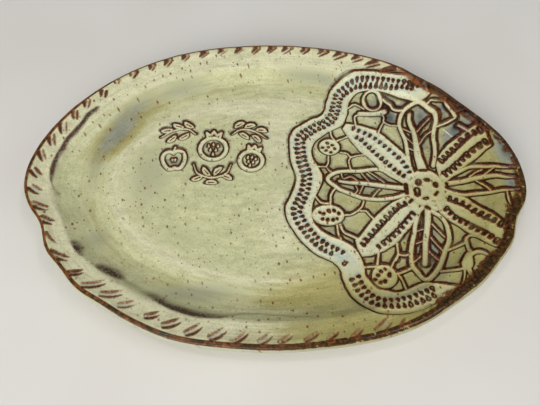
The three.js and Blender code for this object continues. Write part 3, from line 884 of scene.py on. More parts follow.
# From where to where, half the width, and how strongly the brown shows on the left and the right.
DENTS = (
    (89.7, 89.2, 77.8, 88.5, 1.0, 1.0, 0.8), (78.0, 94.8, 66.8, 92.7, 1.5, 0.9, 0.7),
    (65.6, 99.6, 57.4, 97.6, 1.5, 1.0, 0.5), (53.9, 103.4, 43.8, 100.1, 1.6, 1.0, 0.7),
    (40.5, 106.1, 32.5, 102.8, 1.4, 0.8, 0.7), (25.9, 108.1, 20.4, 104.8, 1.3, 0.9, 0.6),
    (13.8, 109.5, 5.8, 105.1, 1.5, 1.0, 0.4), (1.6, 110.2, -5.2, 105.2, 1.1, 1.0, 0.5),
    (-11.1, 109.2, -16.6, 104.6, 1.1, 0.9, 0.6), (-23.8, 108.2, -29.7, 104.0, 1.0, 1.0, 0.3),
    (-35.9, 107.5, -42.0, 103.3, 1.3, 1.0, 0.3), (-49.6, 105.1, -55.8, 100.2, 1.1, 0.9, 0.4),
    (-64.1, 102.0, -68.3, 97.1, 1.3, 1.0, 0.4), (-76.4, 98.1, -80.8, 91.9, 1.4, 1.0, 0.6),
    (-88.7, 93.1, -91.2, 88.0, 1.3, 0.9, 0.5), (-101.0, 86.9, -104.5, 81.1, 1.6, 0.7, 0.8),
    (-113.4, 80.2, -114.3, 74.9, 1.5, 1.0, 0.4), (-122.2, 69.5, -122.8, 64.0, 1.7, 0.7, 1.0),
    (-132.3, 61.2, -133.3, 54.3, 1.5, 0.9, 0.5), (-140.0, 51.4, -139.4, 44.7, 1.4, 0.8, 1.0),
    (-146.6, 42.0, -145.3, 32.7, 2.0, 1.0, 0.5), (-152.9, 31.7, -151.1, 23.1, 1.7, 1.0, 0.7),
    (-157.8, 19.0, -154.4, 11.1, 1.5, 1.0, 0.5), (-160.3, 4.7, -155.1, -0.6, 1.9, 0.9, 0.9),
    (-158.9, -8.3, -152.0, -12.3, 2.0, 1.0, 0.5), (-155.3, -20.6, -144.9, -23.7, 1.7, 1.0, 0.7),
    (-147.7, -30.8, -139.6, -33.7, 1.7, 0.9, 0.9), (-141.8, -40.2, -134.8, -47.7, 0.7, 0.6, 0.3),
    (-138.3, -53.4, -125.4, -58.3, 1.6, 1.0, 0.8), (-124.2, -67.3, -115.6, -65.4, 1.3, 0.9, 0.8),
    (-114.9, -74.6, -101.0, -71.7, 1.6, 1.0, 0.6), (-103.4, -79.9, -89.9, -78.4, 1.7, 0.8, 0.7),
    (-91.7, -86.6, -82.1, -84.6, 1.6, 0.6, 0.6), (-75.5, -93.0, -67.2, -91.0, 1.4, 1.0, 0.8),
    (-64.9, -98.3, -54.4, -94.9, 1.7, 1.0, 0.8), (-51.3, -103.0, -42.3, -97.7, 1.8, 1.0, 0.7),
    (-37.5, -105.7, -28.1, -99.9, 1.9, 0.9, 0.6), (-23.8, -107.9, -15.3, -101.5, 1.2, 0.9, 0.5),
    (-9.2, -108.1, -1.6, -102.7, 1.7, 0.6, 0.5), (2.2, -108.1, 10.5, -102.4, 1.2, 0.5, 0.5),
    (16.8, -107.0, 25.6, -101.3, 1.0, 0.6, 0.5), (29.6, -106.6, 36.4, -100.9, 0.9, 0.9, 0.4),
    (43.5, -105.3, 50.6, -99.1, 1.0, 0.6, 0.5), (57.9, -102.0, 67.6, -93.3, 2.1, 0.4, 0.6),
    (72.8, -99.4, 77.0, -94.2, 1.6, 0.8, 0.7),
)
BOW = 0.24  # how far the dents bend, for their length
for x0, y0, x1, y1, half, *strong in DENTS:
    head, tail = np.array((x0, y0)), np.array((x1, y1))
    way = (tail - head) / np.hypot(*(tail - head))
    head = head - way
    steps = np.linspace(0, 1, 9)[:, None]
    bow = BOW * steps * (1 - steps) * np.hypot(*(tail - head))
    strong = np.array(strong) * (1.4 if y0 > 60 else 1.15 if x0 < -120 else 1.0)
    roll_dent(head + steps * (tail - head) + bow * (way[1], -way[0]), half, strong)


# The coat on the face: one pour of glaze over floor, wall, strip and doily. It is modelled in five
# pieces that meet along the doily's outline, the strip's inner side and the crest.
FACE = (  # height of the glaze at each station
    (0, 11.1), (0.8, 11.2), (1, 12.3), (1.2, 12), (1.45, 11.6), (1.65, 12.5), (1.82, 15),
    (1.95, 17.7), (2.01, 19.4), (2.12, 20.6), (2.35, 21.3), (2.65, 22.6), (2.87, 24.1),
    (2.95, 24.4),
)
TOP = 24.38
CREST = 2.87  # the station where the face meets the crest's own piece
PRESS_DEPTH, THREAD_DEPTH, DENT_DEPTH = 0.5, 0.34, 0.62
# Soft patches: where, the two reaches, the turn in degrees, and the strength.
POOLS = (
    (-86, 4, 17, 28, 0, 0.5), (-113, 37, 15, 7, 52, 0.75), (-85, 72, 45, 7, 32, 0.4),
    (-131, -24, 12, 8, 60, 0.25), (-116, -42, 14, 9, 35, 0.4),
    (-52, -77, 40, 8, 8, 0.5), (-122, 12, 8, 18, 0, 0.35), (-106, 52, 18, 7, 48, 0.5),
    (-60, 79, 20, 6, 20, 0.4), (22, 90, 22, 6, -8, 0.6), (45, 84, 14, 6, -20, 0.4),
    (3, 10, 6, 20, 0, 0.35), (-45, 24, 42, 20, 0, 0.25), (-60, -38, 22, 10, 0, 0.3),
    (-150, -20, 7, 8, 0, 0.4), (140, 42, 12, 9, 0, 0.8),
    (62, 0.5, 24, 8, -4, 0.9), (104, 42, 9, 22, 0, 0.7), (99, -47, 10, 24, 10, 0.9),
    (143, 0, 20, 9, 0, 0.15), (157, 22, 7, 15, 0, 1.7), (156, -5, 4, 5, 0, 1.4),
    (78, 62, 12, 10, 0, 1.1), (132, 60, 16, 8, -30, 0.9),
    (44, -22, 10, 22, 0, 0.35), (66, -42, 22, 9, -40, 0.3), (128, 34, 16, 8, 40, 0.6),
    (84, 53, 5, 5, 0, 1.5), (128, 42, 3, 2.5, 0, 1.4), (125, 38, 7, 4, 30, 0.9),
    (134, 52, 5, 3, -15, 1.5), (106, 54, 4, 6, 0, 1.0), (121, 55, 3, 6, 30, 1.1),
)
OLIVES = (
    (-112, 36, 20, 9, 52, 1.75), (-95, 62, 22, 8, 38, 0.6), (-104, -50, 22, 10, -38, 0.15),
    (35, -70, 40, 13, 0, 0.65), (10, -80, 40, 9, 0, 0.3), (62, -101, 74, 17, 4, 1.15),
    (102, -4, 16, 18, 0, 0.35), (104, 42, 9, 22, 0, 0.3),
    (142, -8, 30, 70, 0, 0.8), (110, 60, 30, 25, 0, 0.3), (-40, -66, 60, 5, 6, 0.25),
    (62, -10, 40, 50, 0, 0.4), (100, -60, 40, 22, 0, 0.5),
)
CREAMS = (
    (3, 36, 12, 22, 0, 1.3), (4, -26, 12, 26, 0, 0.7), (-20, 62, 46, 9, 0, 0.7),
    (-78, 40, 14, 12, 50, 0.3),
)
RUSTS = (
    (138, 50, 18, 7, -44, 0.45), (152, -30, 7, 16, 0, 0.5),
    (130, -66, 18, 8, 42, 0.6), (104, -80, 18, 5, 22, 0.4), (112, 74, 12, 5, -30, 0.4),
)
BROAD_BREAKS = (
    (62, 0.5, 30, 9, -3, 0.75), (104, 42, 11, 28, 0, 1.15), (99, -44, 11, 27, 10, 1.1),
    (142, 0, 24, 11, 0, 0.7), (74, 68, 18, 14, 0, 0.6), (78, 60, 12, 8, 0, 0.6),
    (120, -64, 26, 20, 30, -0.3), (134, 40, 22, 16, -40, 1.1), (80, -57, 8, 7, 0, 0.9),
    (28, -37, 10, 13, 0, 0.8), (60, -73, 13, 7, -35, 0.9), (86, -46, 8, 8, 0, 0.8),
    (63, -53, 6, 8, 0, 0.8), (92, -57, 10, 7, 0, 0.8), (50, -79, 16, 6, -52, 1.1),
    (88, 65, 13, 7, -20, 0.8), (121, 55, 8, 9, 0, 0.6), (80, 82, 30, 8, -8, 0.5),
    (81, -81, 20, 6, 8, 0.5), (16, 4, 11, 46, 0, 0.45), (39, 30, 8, 8, 0, 0.4),
    (35, -23, 11, 8, 0, 0.4), (68, -66, 9, 8, 0, 0.4),
    (134, -30, 20, 16, -40, 0.6), (36, -2, 6, 40, 0, 0.35),
    (50, -40, 10, 8, 0, 0.6), (-43, 25, 45, 30, 0, 0.1), (102, -4, 15, 16, 0, 0.7),
    (102, -4, 110, 110, 0, 0.3),
)
FADED_EDGE = ((98, -90, 24, 7, 14, 1.0),)
# The brown line of the strip's inner side: angle in degrees, station, half width and strength.
SEAM = (
    (143.5, 2.38, 0.6, 0), (145.4, 2.4, 1.1, 0.85), (149.2, 2.41, 1.2, 1.0),
    (152.5, 2.3, 1.1, 0.95),
    (157.1, 2.26, 1.3, 1.0), (161.3, 2.28, 1.2, 0.85), (165.6, 2.22, 1.3, 0.95),
    (170.1, 2.22, 1.1, 0.9), (173.8, 2.2, 1.2, 1.0), (177.4, 2.17, 1.1, 0.9),
    (181.1, 2.13, 0.8, 0.6), (183, 2.08, 0.5, 0.4), (187, 1.98, 0.5, 0.4), (191.6, 1.93, 0.5, 0),
    (209.5, 2.04, 1.2, 0), (210.8, 2.06, 1.3, 0.6), (214, 2.11, 1.4, 1.0), (216.5, 2.14, 1.2, 0.6),
    (218, 2.08, 0.9, 0.12), (221, 1.98, 0.9, 0.15), (223.1, 1.98, 1.2, 0.75),
    (226.4, 1.94, 1.2, 1.05), (229.7, 1.93, 0.9, 0.6), (231.2, 1.92, 0.6, 0.25),
    (237, 1.93, 0.7, 0.2), (240.5, 1.96, 0.9, 0.65), (245.6, 2.06, 1.1, 0.9),
    (248.4, 2.07, 1.2, 1.0), (252.7, 2.1, 1.2, 1.0), (257.8, 2.03, 0.9, 0.65),
    (259.5, 1.95, 0.5, 0.4), (261.7, 1.89, 0.45, 0.4), (265.6, 1.85, 0.4, 0.35),
    (271.9, 1.9, 0.4, 0.4), (277.7, 1.97, 0.4, 0.35), (284.4, 2.13, 0.4, 0),
)


def blotches(spots, x, y):
    """The sum of a table's soft patches at points in plan."""
    total = np.zeros(np.shape(x))
    for at_x, at_y, long, short, turn, strength in spots:
        cos, sin = math.cos(math.radians(turn)), math.sin(math.radians(turn))
        u = ((x - at_x) * cos + (y - at_y) * sin) / long
        v = ((y - at_y) * cos - (x - at_x) * sin) / short
        total += strength * np.exp(-(u * u + v * v) ** 1.2)
    return total


def stations_of(x, y):
    """The station and the angle of points given in plan."""
    angle = np.arctan2(y / WIDTH, x / LENGTH)
    station = np.clip(np.hypot(x / LENGTH, y / WIDTH) * 6, 0.05, 3.1)
    small = 1e-4
    for _ in range(8):
        at = in_plan(station, angle)
        out = (in_plan(station + small, angle) - at) / small
        side = (in_plan(station, angle + small) - at) / small
        off_x, off_y = x - at[..., 0], y - at[..., 1]
        area = out[..., 0] * side[..., 1] - out[..., 1] * side[..., 0]
        area = np.where(abs(area) < 1e-6, 1e-6, area)
        step = (off_x * side[..., 1] - off_y * side[..., 0]) / area
        turn = (out[..., 0] * off_y - out[..., 1] * off_x) / area
        station = np.clip(station + np.clip(step, -0.5, 0.5), 1e-3, 3.3)
        angle = angle + np.clip(turn, -0.3, 0.3)
    return station, angle


def reading(field, x, y):
    """What a field holds at points between its own."""
    column = np.clip((x - WEST) / CELL, 0, field.shape[1] - 2)
    row = np.clip((y - SOUTH) / CELL, 0, field.shape[0] - 2)
    c, r = column.astype(int), row.astype(int)
    u, v = column - c, row - r
    low = field[r, c] * (1 - u) + field[r, c + 1] * u
    high = field[r + 1, c] * (1 - u) + field[r + 1, c + 1] * u
    return low * (1 - v) + high * v


def soft_step(value, low, high):
    share = np.clip((value - low) / (high - low), 0, 1)
    return share * share * (3 - 2 * share)


def hand_waves(x, y):
    """The slight unevenness of a slab patted into its mould."""
    wave = 0.12 * np.sin(x / 17 + np.sin(y / 23)) * np.sin(y / 13 + 1)
    return wave + 0.06 * np.sin(x / 7.3 + y / 9.1) * np.sin(y / 6.1 - x / 11)


# How far the bare brown of the crest reaches to its inner and outer side, by angle in degrees.
CREST_RUST = (
    (0, 2.0, 1.2), (20, 1.6, 1.4), (40, 2.2, 1.6), (52, 2.0, 1.4), (60, 0.8, 1.2), (90, 0.6, 1.2),
    (135, 0.7, 1.2), (150, 1.6, 1.3), (168, 1.8, 1.3), (180, 1.4, 1.2), (190, 0.9, 0.9),
    (205, 0.9, 0.8), (215, 1.3, 0.8), (235, 1.9, 0.9), (260, 1.9, 1.3), (275, 1.8, 1.5),
    (290, 2.4, 1.3), (303, 3.2, 0.9), (315, 3.4, 0.5), (330, 3.6, 0.3), (342, 3.2, 0.3),
    (350, 2.6, 0.7), (360, 2.2, 1.2),
)


def by_angle(table, angle):
    """The columns of a table that starts with an angle in degrees, read at other angles."""
    at, *columns = np.array(table).T
    return [np.interp(np.degrees(angle) % 360, at, column) for column in columns]


def crest_rust(out, angle):
    """Where the glaze has run thin over the crest, by how far a point lies outside the edge."""
    inside, outside = by_angle(CREST_RUST, angle)
    kept_inside = soft_step(out, -inside - 0.5, -inside + 0.4)
    return 0.95 * kept_inside * soft_step(out, outside + 0.4, outside - 0.4)


def slope_north(field):
    """How much a field rises to the north in a millimetre, over about 3 mm."""
    bell = np.exp(-((np.arange(-12, 13) * CELL / 1.5) ** 2))
    bell /= bell.sum()
    held = np.clip(field, FAR, 1)
    for axis in (0, 1):
        held = np.apply_along_axis(np.convolve, axis, held, bell, "same")
    return np.gradient(held, CELL, axis=0)


north_rise = slope_north(pressed)


def broken_line(press, x, y, faded):
    """The press as the glaze shows it: its brown line is broader in some places than in others,
    and, as painted shade, broader on the islands' south edges, where the light comes over the edge
    from the far side, and narrower on their north ones."""
    broad = blotches(BROAD_BREAKS, x, y) + 0.25 * soft_step(x, 95, 135) - 1.8 * faded
    broad = 0.9 + np.clip(broad, -0.8, 1.6)
    # Painted shade: the line widens on edges turned from the light and narrows on those facing it.
    shaded = broad - 0.7 * np.clip(reading(north_rise, x, y), -1, 1)
    broad = np.maximum(shaded, np.minimum(broad, 0.3))
    lost = 0.28  # where the line is narrower than this it fades away instead
    faint = press + 0.5 * soft_step(broad, lost, 0.15)
    return np.where(press < -0.08 * (broad < lost), press / broad, faint)


def face_points(plan):
    """Heights and marks of the face at points given in plan."""
    x, y = plan[:, 0], plan[:, 1]
    station, angle = stations_of(x, y)
    press, dent = reading(pressed, x, y), reading(dented, x, y)
    right = soft_step(np.cos(angle), 0.35, 0.8)
    over_strip = 1 - 0.35 * np.exp(-(((station - 2.06) / 0.08) ** 2))
    faded = blotches(FADED_EDGE, x, y)
    sharp = 0.35 + faded
    sunk = PRESS_DEPTH * soft_step(press, -sharp, sharp)
    sunk = (sunk + THREAD_DEPTH * soft_step(press, -0.1, 1.7)) * over_strip + DENT_DEPTH * dent
    lip = 0.2 * np.exp(-(((press + 1.0) / 0.75) ** 2))
    lip = lip * soft_step(station, 2.95, 2.8) * (1 - faded)
    calm = hand_waves(x, y) * soft_step(station, 2.85, 2.6)
    smooth = eased(FACE, station) * (1 - right) + eased(FACE, station, 1.6) * right
    z = np.minimum(smooth - sunk + lip + calm, TOP)

    edge = (3 - station) * BAND
    hazy = soft_step(y, -6, 8) * soft_step(y, 42, 36)
    thin = np.maximum(crest_rust(-edge, angle),
                      (0.85 - 0.38 * hazy) * right * soft_step(edge, 9.0, 2.0))
    at, half, strength = by_angle(SEAM, angle)
    off = (station - at) * BAND
    seam = strength * np.exp(-((off / half / np.where(off < 0, 1.9, 1.0)) ** 2))
    lost = right * soft_step(edge, 13, 4) * (0.6 + 0.4 * np.sin(x / 1.9) * np.sin(y / 2.3 + x / 7))
    press = press - 1.0 * lost
    cream = 0.9 * np.exp(-(((station - 1.1) / 0.11) ** 2)) + 0.85 * soft_step(station, 1.98, 2.06)
    channel = np.exp(-(((station - 1.55) / 0.2) ** 2)) * (1 - right)
    # Towards the east end the glaze turns more olive and darker: partly its own colour, partly
    # painted shade where the light falls off.
    east = soft_step(x - 0.6 * y, 70, 150)
    cells = soft_step(press, -0.5, -1.0) * soft_step(np.hypot(x - 110, y), 110, 90)
    frost = np.clip(reading(frosted, x, y) + 1, 0, 1) * soft_step(press, -0.1, 0.2)
    marks = {
        "press": broken_line(press, x, y, faded),
        "pool": blotches(POOLS, x, y) + 0.2 * channel,
        "olive": blotches(OLIVES, x, y) + 0.35 * channel + 0.25 * cells + 0.3 * east,
        "cream": (cream + blotches(CREAMS, x, y)) * (1 - right),
        "thin": thin + blotches(RUSTS, x, y),
        "frost": np.maximum(frost * soft_step(x, 150, 120), 0.55 * dent),
        "stroke": reading(stroked, x, y),
        "seam": seam,
    }
    return z, marks, station, angle


def even_loop(station, pitch):
    """Points at even steps round the platter at one station."""
    angle = np.linspace(0, 2 * np.pi, 7201)
    line = in_plan(np.full(angle.shape, float(station)), angle)
    run = np.concatenate([[0], np.cumsum(np.hypot(*np.diff(line, axis=0).T))])
    count = int(round(run[-1] / pitch))
    return in_plan(station, np.interp(np.linspace(0, run[-1], count, endpoint=False), run, angle))


def nearest(loop, point):
    return int(np.argmin(np.hypot(*(loop - point).T)))


def stretch_of(loop, first, last):
    """The points of a loop from one index to another, going round with rising index."""
    return loop[np.arange(first, last + 1 + (len(loop) if last < first else 0)) % len(loop)]


def joined(*parts):
    """One closed loop from stretches that end where the next begins."""
    return np.vstack([part[:-1] for part in parts])


LOOP_STEP, OUTLINE_STEP = 0.4, 0.38
crest_loop = even_loop(CREST, LOOP_STEP)
strip_loop = even_loop(2.02, LOOP_STEP)
outline = border_outer[stations_of(*border_outer.T)[0] < CREST - 0.03]
crest_top, crest_low = (nearest(crest_loop, outline[end]) for end in (0, -1))
outline = np.vstack([crest_loop[crest_top], outline, crest_loop[crest_low]])
outline, _ = spaced_along(outline, pitch=OUTLINE_STEP)
gaps = np.hypot(*(outline[:, None] - strip_loop[None, ::2]).transpose(2, 0, 1)).min(1)
turns = [k for k in range(20, len(outline) - 20) if gaps[k] == gaps[k - 20:k + 21].min() < 0.5]
cut_top, cut_low = turns[0], turns[-1]
strip_top, strip_low = nearest(strip_loop, outline[cut_top]), nearest(strip_loop, outline[cut_low])
outline[cut_top], outline[cut_low] = strip_loop[strip_top], strip_loop[strip_low]
middle_cut = int(np.argmin(np.abs(outline[:, 1] - (LACE[1] + 6.5)) + 9 * (outline[:, 0] > 20)))
MIDDLE_THREADS = (
    (-80, 7), (-68, 7.5), (-58, 6), (-44.5, 4.5), (-35, 3.5), (-15.5, 0.5), (0, 0.5), (13, 3.5),
    (27, 5.5), (39.5, 6.5), (50, 4), (56, 2.5),
)
split = bent_line([outline[middle_cut], *on_lace(MIDDLE_THREADS)])
crest_east = nearest(crest_loop, split[-1])
split, _ = spaced_along(np.vstack([split[:-1], crest_loop[crest_east]]), pitch=OUTLINE_STEP)

strip_side = stretch_of(strip_loop, strip_top, strip_low)
crest_side = stretch_of(crest_loop, crest_top, crest_low)
crest_north = stretch_of(crest_loop, crest_east, crest_top)
crest_south = stretch_of(crest_loop, crest_low, crest_east)
well_loop = joined(strip_side, outline[cut_top:cut_low + 1][::-1])
rim_loop = joined(crest_side, outline[cut_low:][::-1], strip_side[::-1],
                  outline[:cut_top + 1][::-1])
north_loop = joined(crest_north, outline[:middle_cut + 1], split)
south_loop = joined(crest_south, split[::-1], outline[middle_cut:])


def filled(loop, spacing, keep=None):
    """Points in a triangular pattern inside a loop, clear of the loop itself."""
    margin = 0.45 * spacing
    low, high = loop.min(0), loop.max(0)
    levels = np.arange(low[1] + 0.3 * spacing, high[1], spacing * math.sqrt(0.75))
    rows = []
    for k, level in enumerate(levels):
        x = np.arange(low[0] + (k % 2) * spacing / 2, high[0], spacing)
        x = x[np.searchsorted(crossings(loop, level), x) % 2 == 1]
        rows.append(np.stack([x, np.full(len(x), level)], -1))
    points = np.vstack(rows)
    if keep is not None:
        points = points[keep(points)]
    box = 0.15 if spacing < 1 else 0.5
    size = np.ceil((high - low) / box).astype(int) + 8
    near = np.zeros(size, bool)
    spots = ((loop - low) / box).astype(int) + 4
    reach = int(math.ceil(margin / box))
    for i in range(-reach, reach + 1):
        for j in range(-reach, reach + 1):
            if math.hypot(i, j) * box <= margin + 0.5 * box:
                near[spots[:, 0] + i, spots[:, 1] + j] = True
    cells = ((points - low) / box).astype(int) + 4
    return points[~near[cells[:, 0], cells[:, 1]]]


def within(points, loop):
    """Which points lie inside a loop."""
    following = np.roll(loop, -1, 0)
    level = points[:, 1, None]
    cut = (loop[:, 1] > level) != (following[:, 1] > level)
    rise = np.where(following[:, 1] == loop[:, 1], 1, following[:, 1] - loop[:, 1])
    cross = loop[:, 0] + (level - loop[:, 1]) * (following[:, 0] - loop[:, 0]) / rise
    return (cut & (cross < points[:, 0, None])).sum(1) % 2 == 1


def triangles(points, border):
    """Triangles over points in plan, inside the loop that the first ones make."""
    edges = [(k, (k + 1) % border) for k in range(border)]
    made = delaunay_2d_cdt([Vector(p) for p in points.tolist()], edges, [], 0, 1e-7, False)
    assert len(made[0]) == len(points)
    faces = np.array(made[2], int)
    a, b, c = (points[faces[:, k]] for k in range(3))
    area = (b[:, 0] - a[:, 0]) * (c[:, 1] - a[:, 1]) - (b[:, 1] - a[:, 1]) * (c[:, 0] - a[:, 0])
    faces[area < 0] = faces[area < 0][:, ::-1]
    kept = np.ones(len(faces), bool)
    doubt = np.flatnonzero(faces.max(1) < border)
    kept[doubt] = within((a + b + c)[doubt] / 3, points[:border])
    return faces[kept]


def near_stamps(points):
    """Which points lie in the part of the floor that the stamps take up."""
    off = np.abs(points - STAMPS)
    return (off[:, 0] < 41) & (off[:, 1] < 30)


COAT = 1.05  # thickness, as drawn
THREAD_STEP, STAMP_STEP, RIM_STEP = 0.348, 0.38, 0.42
FLOOR_STEP, UNDER_STEP = 1.3, 3.0
skins = []  # every coat on the face, with its points, its faces and how many of these are on top


def lay_down(piece, points, faces, on_top, corners):
    """Gives a coat its map, and its place in the part."""
    layer = piece.data.uv_layers.new(name="OFBake")
    layer.data.foreach_set("uv", corners.astype(np.float32).ravel())
    skins.append((piece, points, faces, on_top))
    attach(piece, "root")
    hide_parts("face_glaze")


def coat(name, loop, *patterns):
    """A closed coat of glaze: a fine skin on top, a plain one under it, and a rim between. The
    skin's points are those of the loop and of the patterns inside it."""
    border = len(loop)
    plan = np.vstack([loop, *patterns])
    top = triangles(plan, border)
    z, marks, station, turn = face_points(plan)
    under = np.vstack([loop, filled(loop, UNDER_STEP)])
    lower = triangles(under, border)
    under_z = eased(FACE, stations_of(under[:, 0], under[:, 1])[0]) - COAT
    count = len(plan)
    points = np.vstack([np.column_stack([plan, z]), np.column_stack([under, under_z])])
    k = np.arange(border)
    after = (k + 1) % border
    side = np.stack([k, k + count, after + count, after], -1)
    side = np.vstack([side[:, [0, 1, 2]], side[:, [0, 2, 3]]])
    faces = np.vstack([top, lower[:, ::-1] + count, side])
    piece = millimetre_mesh(name, points, [faces], glaze_finish)
    pad = (0, len(points) - count)
    mark(piece, np.pad(station, pad), np.pad(turn, pad),
         **{key: np.pad(value, pad, constant_values=value.min()) for key, value in marks.items()})
    low, high = plan.min(0), plan.max(0)
    share = (points[:, :2] - low) / (high - low).max()
    shown, hidden = share * 0.86 + (0, 0.13), share * 0.11
    on_top = np.arange(len(faces)) < len(top)
    corners = np.where(on_top[:, None, None], shown[faces], hidden[faces])
    lay_down(piece, points, faces, len(top), corners)


coat("glaze_well", well_loop,
     filled(well_loop, FLOOR_STEP, lambda points: ~near_stamps(points)),
     filled(well_loop, STAMP_STEP, near_stamps))
coat("glaze_rim", rim_loop, filled(rim_loop, RIM_STEP))
coat("glaze_lace_north", north_loop, filled(north_loop, THREAD_STEP))
coat("glaze_lace_south", south_loop, filled(south_loop, THREAD_STEP))

# The crest and the outer wall: here the glaze has run thin over the clay's edge and fired brown,
# and it gathers again, paler, in the thick roll low on the wall.
WALL = (  # how far out from the crest's line and how high, over the top and down
    (-2.145, 24.1), (-1.5, 24.28), (-0.8, 24.38), (0.0, 24.3), (0.6, 24.05), (1.1, 23.6),
    (1.45, 22.9), (1.68, 22.0), (1.82, 21.0), (1.88, 20.0), (1.9, 19.0), (1.9, 18.0),
    (1.86, 17.2), (1.66, 16.6), (1.2, 16.25), (0.5, 16.15),
)
INSIDE = (  # and back up against the clay
    (0.5, 16.7), (0.95, 17.2), (0.95, 21.0), (0.8, 22.0), (0.35, 22.7), (-0.8, 23.1),
    (-2.145, 23.05),
)
MAP_STRIPS = 8


def crest_piece():
    """The glaze over the edge: a profile that goes round the plate, knocked a little here and
    there. Its first row meets the rim and the doily."""
    profile = np.array(WALL + INSIDE)
    rows, skin = len(profile), len(WALL)
    out, height = profile.T
    angle = stations_of(crest_loop[:, 0], crest_loop[:, 1])[1]
    outward = np.stack([np.cos(angle) / LENGTH, np.sin(angle) / WIDTH], -1)
    outward /= np.linalg.norm(outward, axis=1, keepdims=True)
    plan = crest_loop[:, None] + outward[:, None] * (out - out[0])[:, None]
    run = np.arange(len(crest_loop)) * LOOP_STEP
    knock = np.sin(run / 6.1) * np.sin(run / 17.3) + 0.6 * np.sin(run / 2.7 + np.sin(run / 9))
    body = np.clip((out + 2.1) / 2, 0, 1) * (np.arange(rows) < skin)
    z = np.minimum(height - 0.1 * (1 + knock)[:, None] * body * (height > 22), TOP)
    z[:, 0], marks, _, _ = face_points(crest_loop)
    points = np.concatenate([plan, z[..., None]], -1).reshape(-1, 3)
    quads = wrapped_faces(len(crest_loop), rows, True)
    faces = np.vstack([quads[:, [0, 1, 2]], quads[:, [0, 2, 3]]])[:, ::-1]
    on_top = np.max(faces % rows, 1) < skin
    faces = faces[np.argsort(~on_top, kind="stable")]
    piece = millimetre_mesh("glaze_edge", points, [faces], glaze_finish)

    side = np.broadcast_to(out, z.shape)
    wall = soft_step(side, 0.3, 1.2)
    marks = {name: value[:, None] for name, value in marks.items()}
    mark(piece, 3 + side / BAND, angle[:, None],
         press=np.where(side < -2.1, marks["press"], FAR), pool=marks["pool"] + 0.5 * wall,
         olive=np.broadcast_to(marks["olive"], z.shape), cream=0.2 * wall,
         thin=np.maximum(crest_rust(side, angle[:, None]),
                         marks["thin"] * soft_step(side, -0.2, -2.0)),
         frost=0.5 * wall, stroke=marks["stroke"] * soft_step(side, 0.6, -1.2))

    # The map: the way round is cut in strips, and what wraps from one to the next takes no room.
    lap = (run / (run[-1] + LOOP_STEP) * MAP_STRIPS)[:, None]
    length = np.concatenate([[0], np.cumsum(np.hypot(*np.diff(profile, axis=0).T))])
    length /= length[-1] * 1.1
    v = (np.floor(lap) + 0.04 + 0.9 * length) / MAP_STRIPS
    u = np.broadcast_to(lap % 1, z.shape)
    corners = np.stack([u.ravel()[faces], v.ravel()[faces]], -1)
    wraps = np.ptp(corners[..., 0], axis=1) > 0.5
    corners[wraps, :, 1] = corners[wraps, :, 1].min(1, keepdims=True)
    corners[wraps, :, 0] = 1.0
    lay_down(piece, points, faces, int(on_top.sum()), corners)


crest_piece()


def share_normals():
    """Lets neighbouring coats shine as one: they have the same normals where they meet."""
    keys, normals = [], []
    for _, points, faces, top in skins:
        a, b, c = (points[faces[:, k]] for k in range(3))
        flat = np.cross(b - a, c - a)
        total = np.zeros_like(points)
        for k in range(3):
            np.add.at(total, faces[:top, k], flat[:top])
        keys.append(np.round(points[:, :2] * 1e3).astype(np.int64))
        normals.append(total)
    across, along = np.vstack(keys).T
    _, group = np.unique(across * 10_000_000 + along, return_inverse=True)
    sums = [np.bincount(group, weights=part) for part in np.vstack(normals).T]
    shared = np.stack(sums, -1)[group]
    first = 0
    for piece, points, faces, top in skins:
        mine = shared[first:first + len(points)]
        first += len(points)
        mine = mine / np.maximum(np.linalg.norm(mine, axis=1, keepdims=True), 1e-12)
        a, b, c = (points[faces[:, k]] for k in range(3))
        flat = np.cross(b - a, c - a)
        flat /= np.maximum(np.linalg.norm(flat, axis=1, keepdims=True), 1e-12)
        corners = np.repeat(flat[:, None], 3, 1)
        corners[:top] = mine[faces[:top]]
        piece.data.normals_split_custom_set(corners.reshape(-1, 3).tolist())


share_normals()


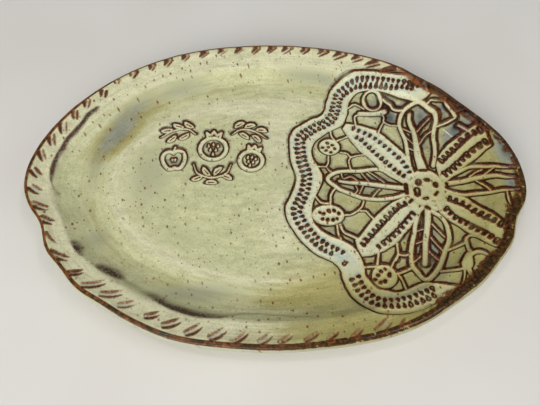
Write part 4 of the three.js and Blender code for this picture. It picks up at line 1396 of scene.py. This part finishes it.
# The table top, the lamps and the camera. A wide soft lamp stands in front on the left, a weaker
# one on the right, a narrow one lights the far edges of the threads, and a small one gives glints.
# The room adds a little plain light from all round.
def table_top():
    finish, start, where = new_finish("pale_table")
    haze = where.cloud(160.0)
    colour = start.blend(tone(232, 229, 223), tone(226, 222, 215), haze.rise(0.3, 0.7))
    board = start.put("ShaderNodeBsdfPrincipled", {}, {"Base Color": colour, "Roughness": 0.8})
    start.put("ShaderNodeOutputMaterial", {}, {"Surface": board})
    reach = 3000
    points = [(-reach, -reach, 0), (reach, -reach, 0), (reach, reach, 0), (-reach, reach, 0)]
    return millimetre_mesh("table_top", points, [np.array([[0, 1, 2, 3]])], finish)


table_top()


def lamp(name, place, aim, size, watts):
    light = bpy.data.lights.new(name, "AREA")
    light.shape = "RECTANGLE"
    light.size, light.size_y = size
    light.energy = watts
    stand = bpy.data.objects.new(name, light)
    stand.location = place
    stand.rotation_euler = (Vector(aim) - Vector(place)).to_track_quat("-Z", "Y").to_euler()
    bpy.context.scene.collection.objects.link(stand)


lamp("window_lamp", (-0.6, -1.2, 1.05), (0, 0, 0), (1.5, 1.1), 23.0)
lamp("room_lamp", (1.05, -0.25, 0.95), (0, 0, 0), (0.8, 0.6), 1.8)
lamp("edge_lamp", (0.45, -0.05, 1.1), (0, 0, 0), (0.5, 0.1), 1.8)
lamp("glint_lamp", (-0.27, 0.0, 1.12), (0, 0, 0), (0.06, 0.06), 0.8)
sky = bpy.data.worlds.new("studio")
sky.use_nodes = True
sky.node_tree.nodes["Background"].inputs["Color"].default_value = (1, 1, 1, 1)
sky.node_tree.nodes["Background"].inputs["Strength"].default_value = 0.2
bpy.context.scene.world = sky
bpy.context.scene.view_settings.view_transform = "Standard"

FOCAL, ACROSS = 501, 540  # the focal length and the width of the picture, in pixels
TILT = 26  # degrees from straight down
SENSOR = 36
lens = bpy.data.cameras.new("camera")
lens.lens = SENSOR * FOCAL / ACROSS
lens.clip_start = 0.02
camera = bpy.data.objects.new("camera", lens)
camera.location = (-0.003, -0.1613, 0.3128)
camera.rotation_euler = Euler((math.radians(TILT), 0, 0))
bpy.context.scene.collection.objects.link(camera)
bpy.context.scene.camera = camera
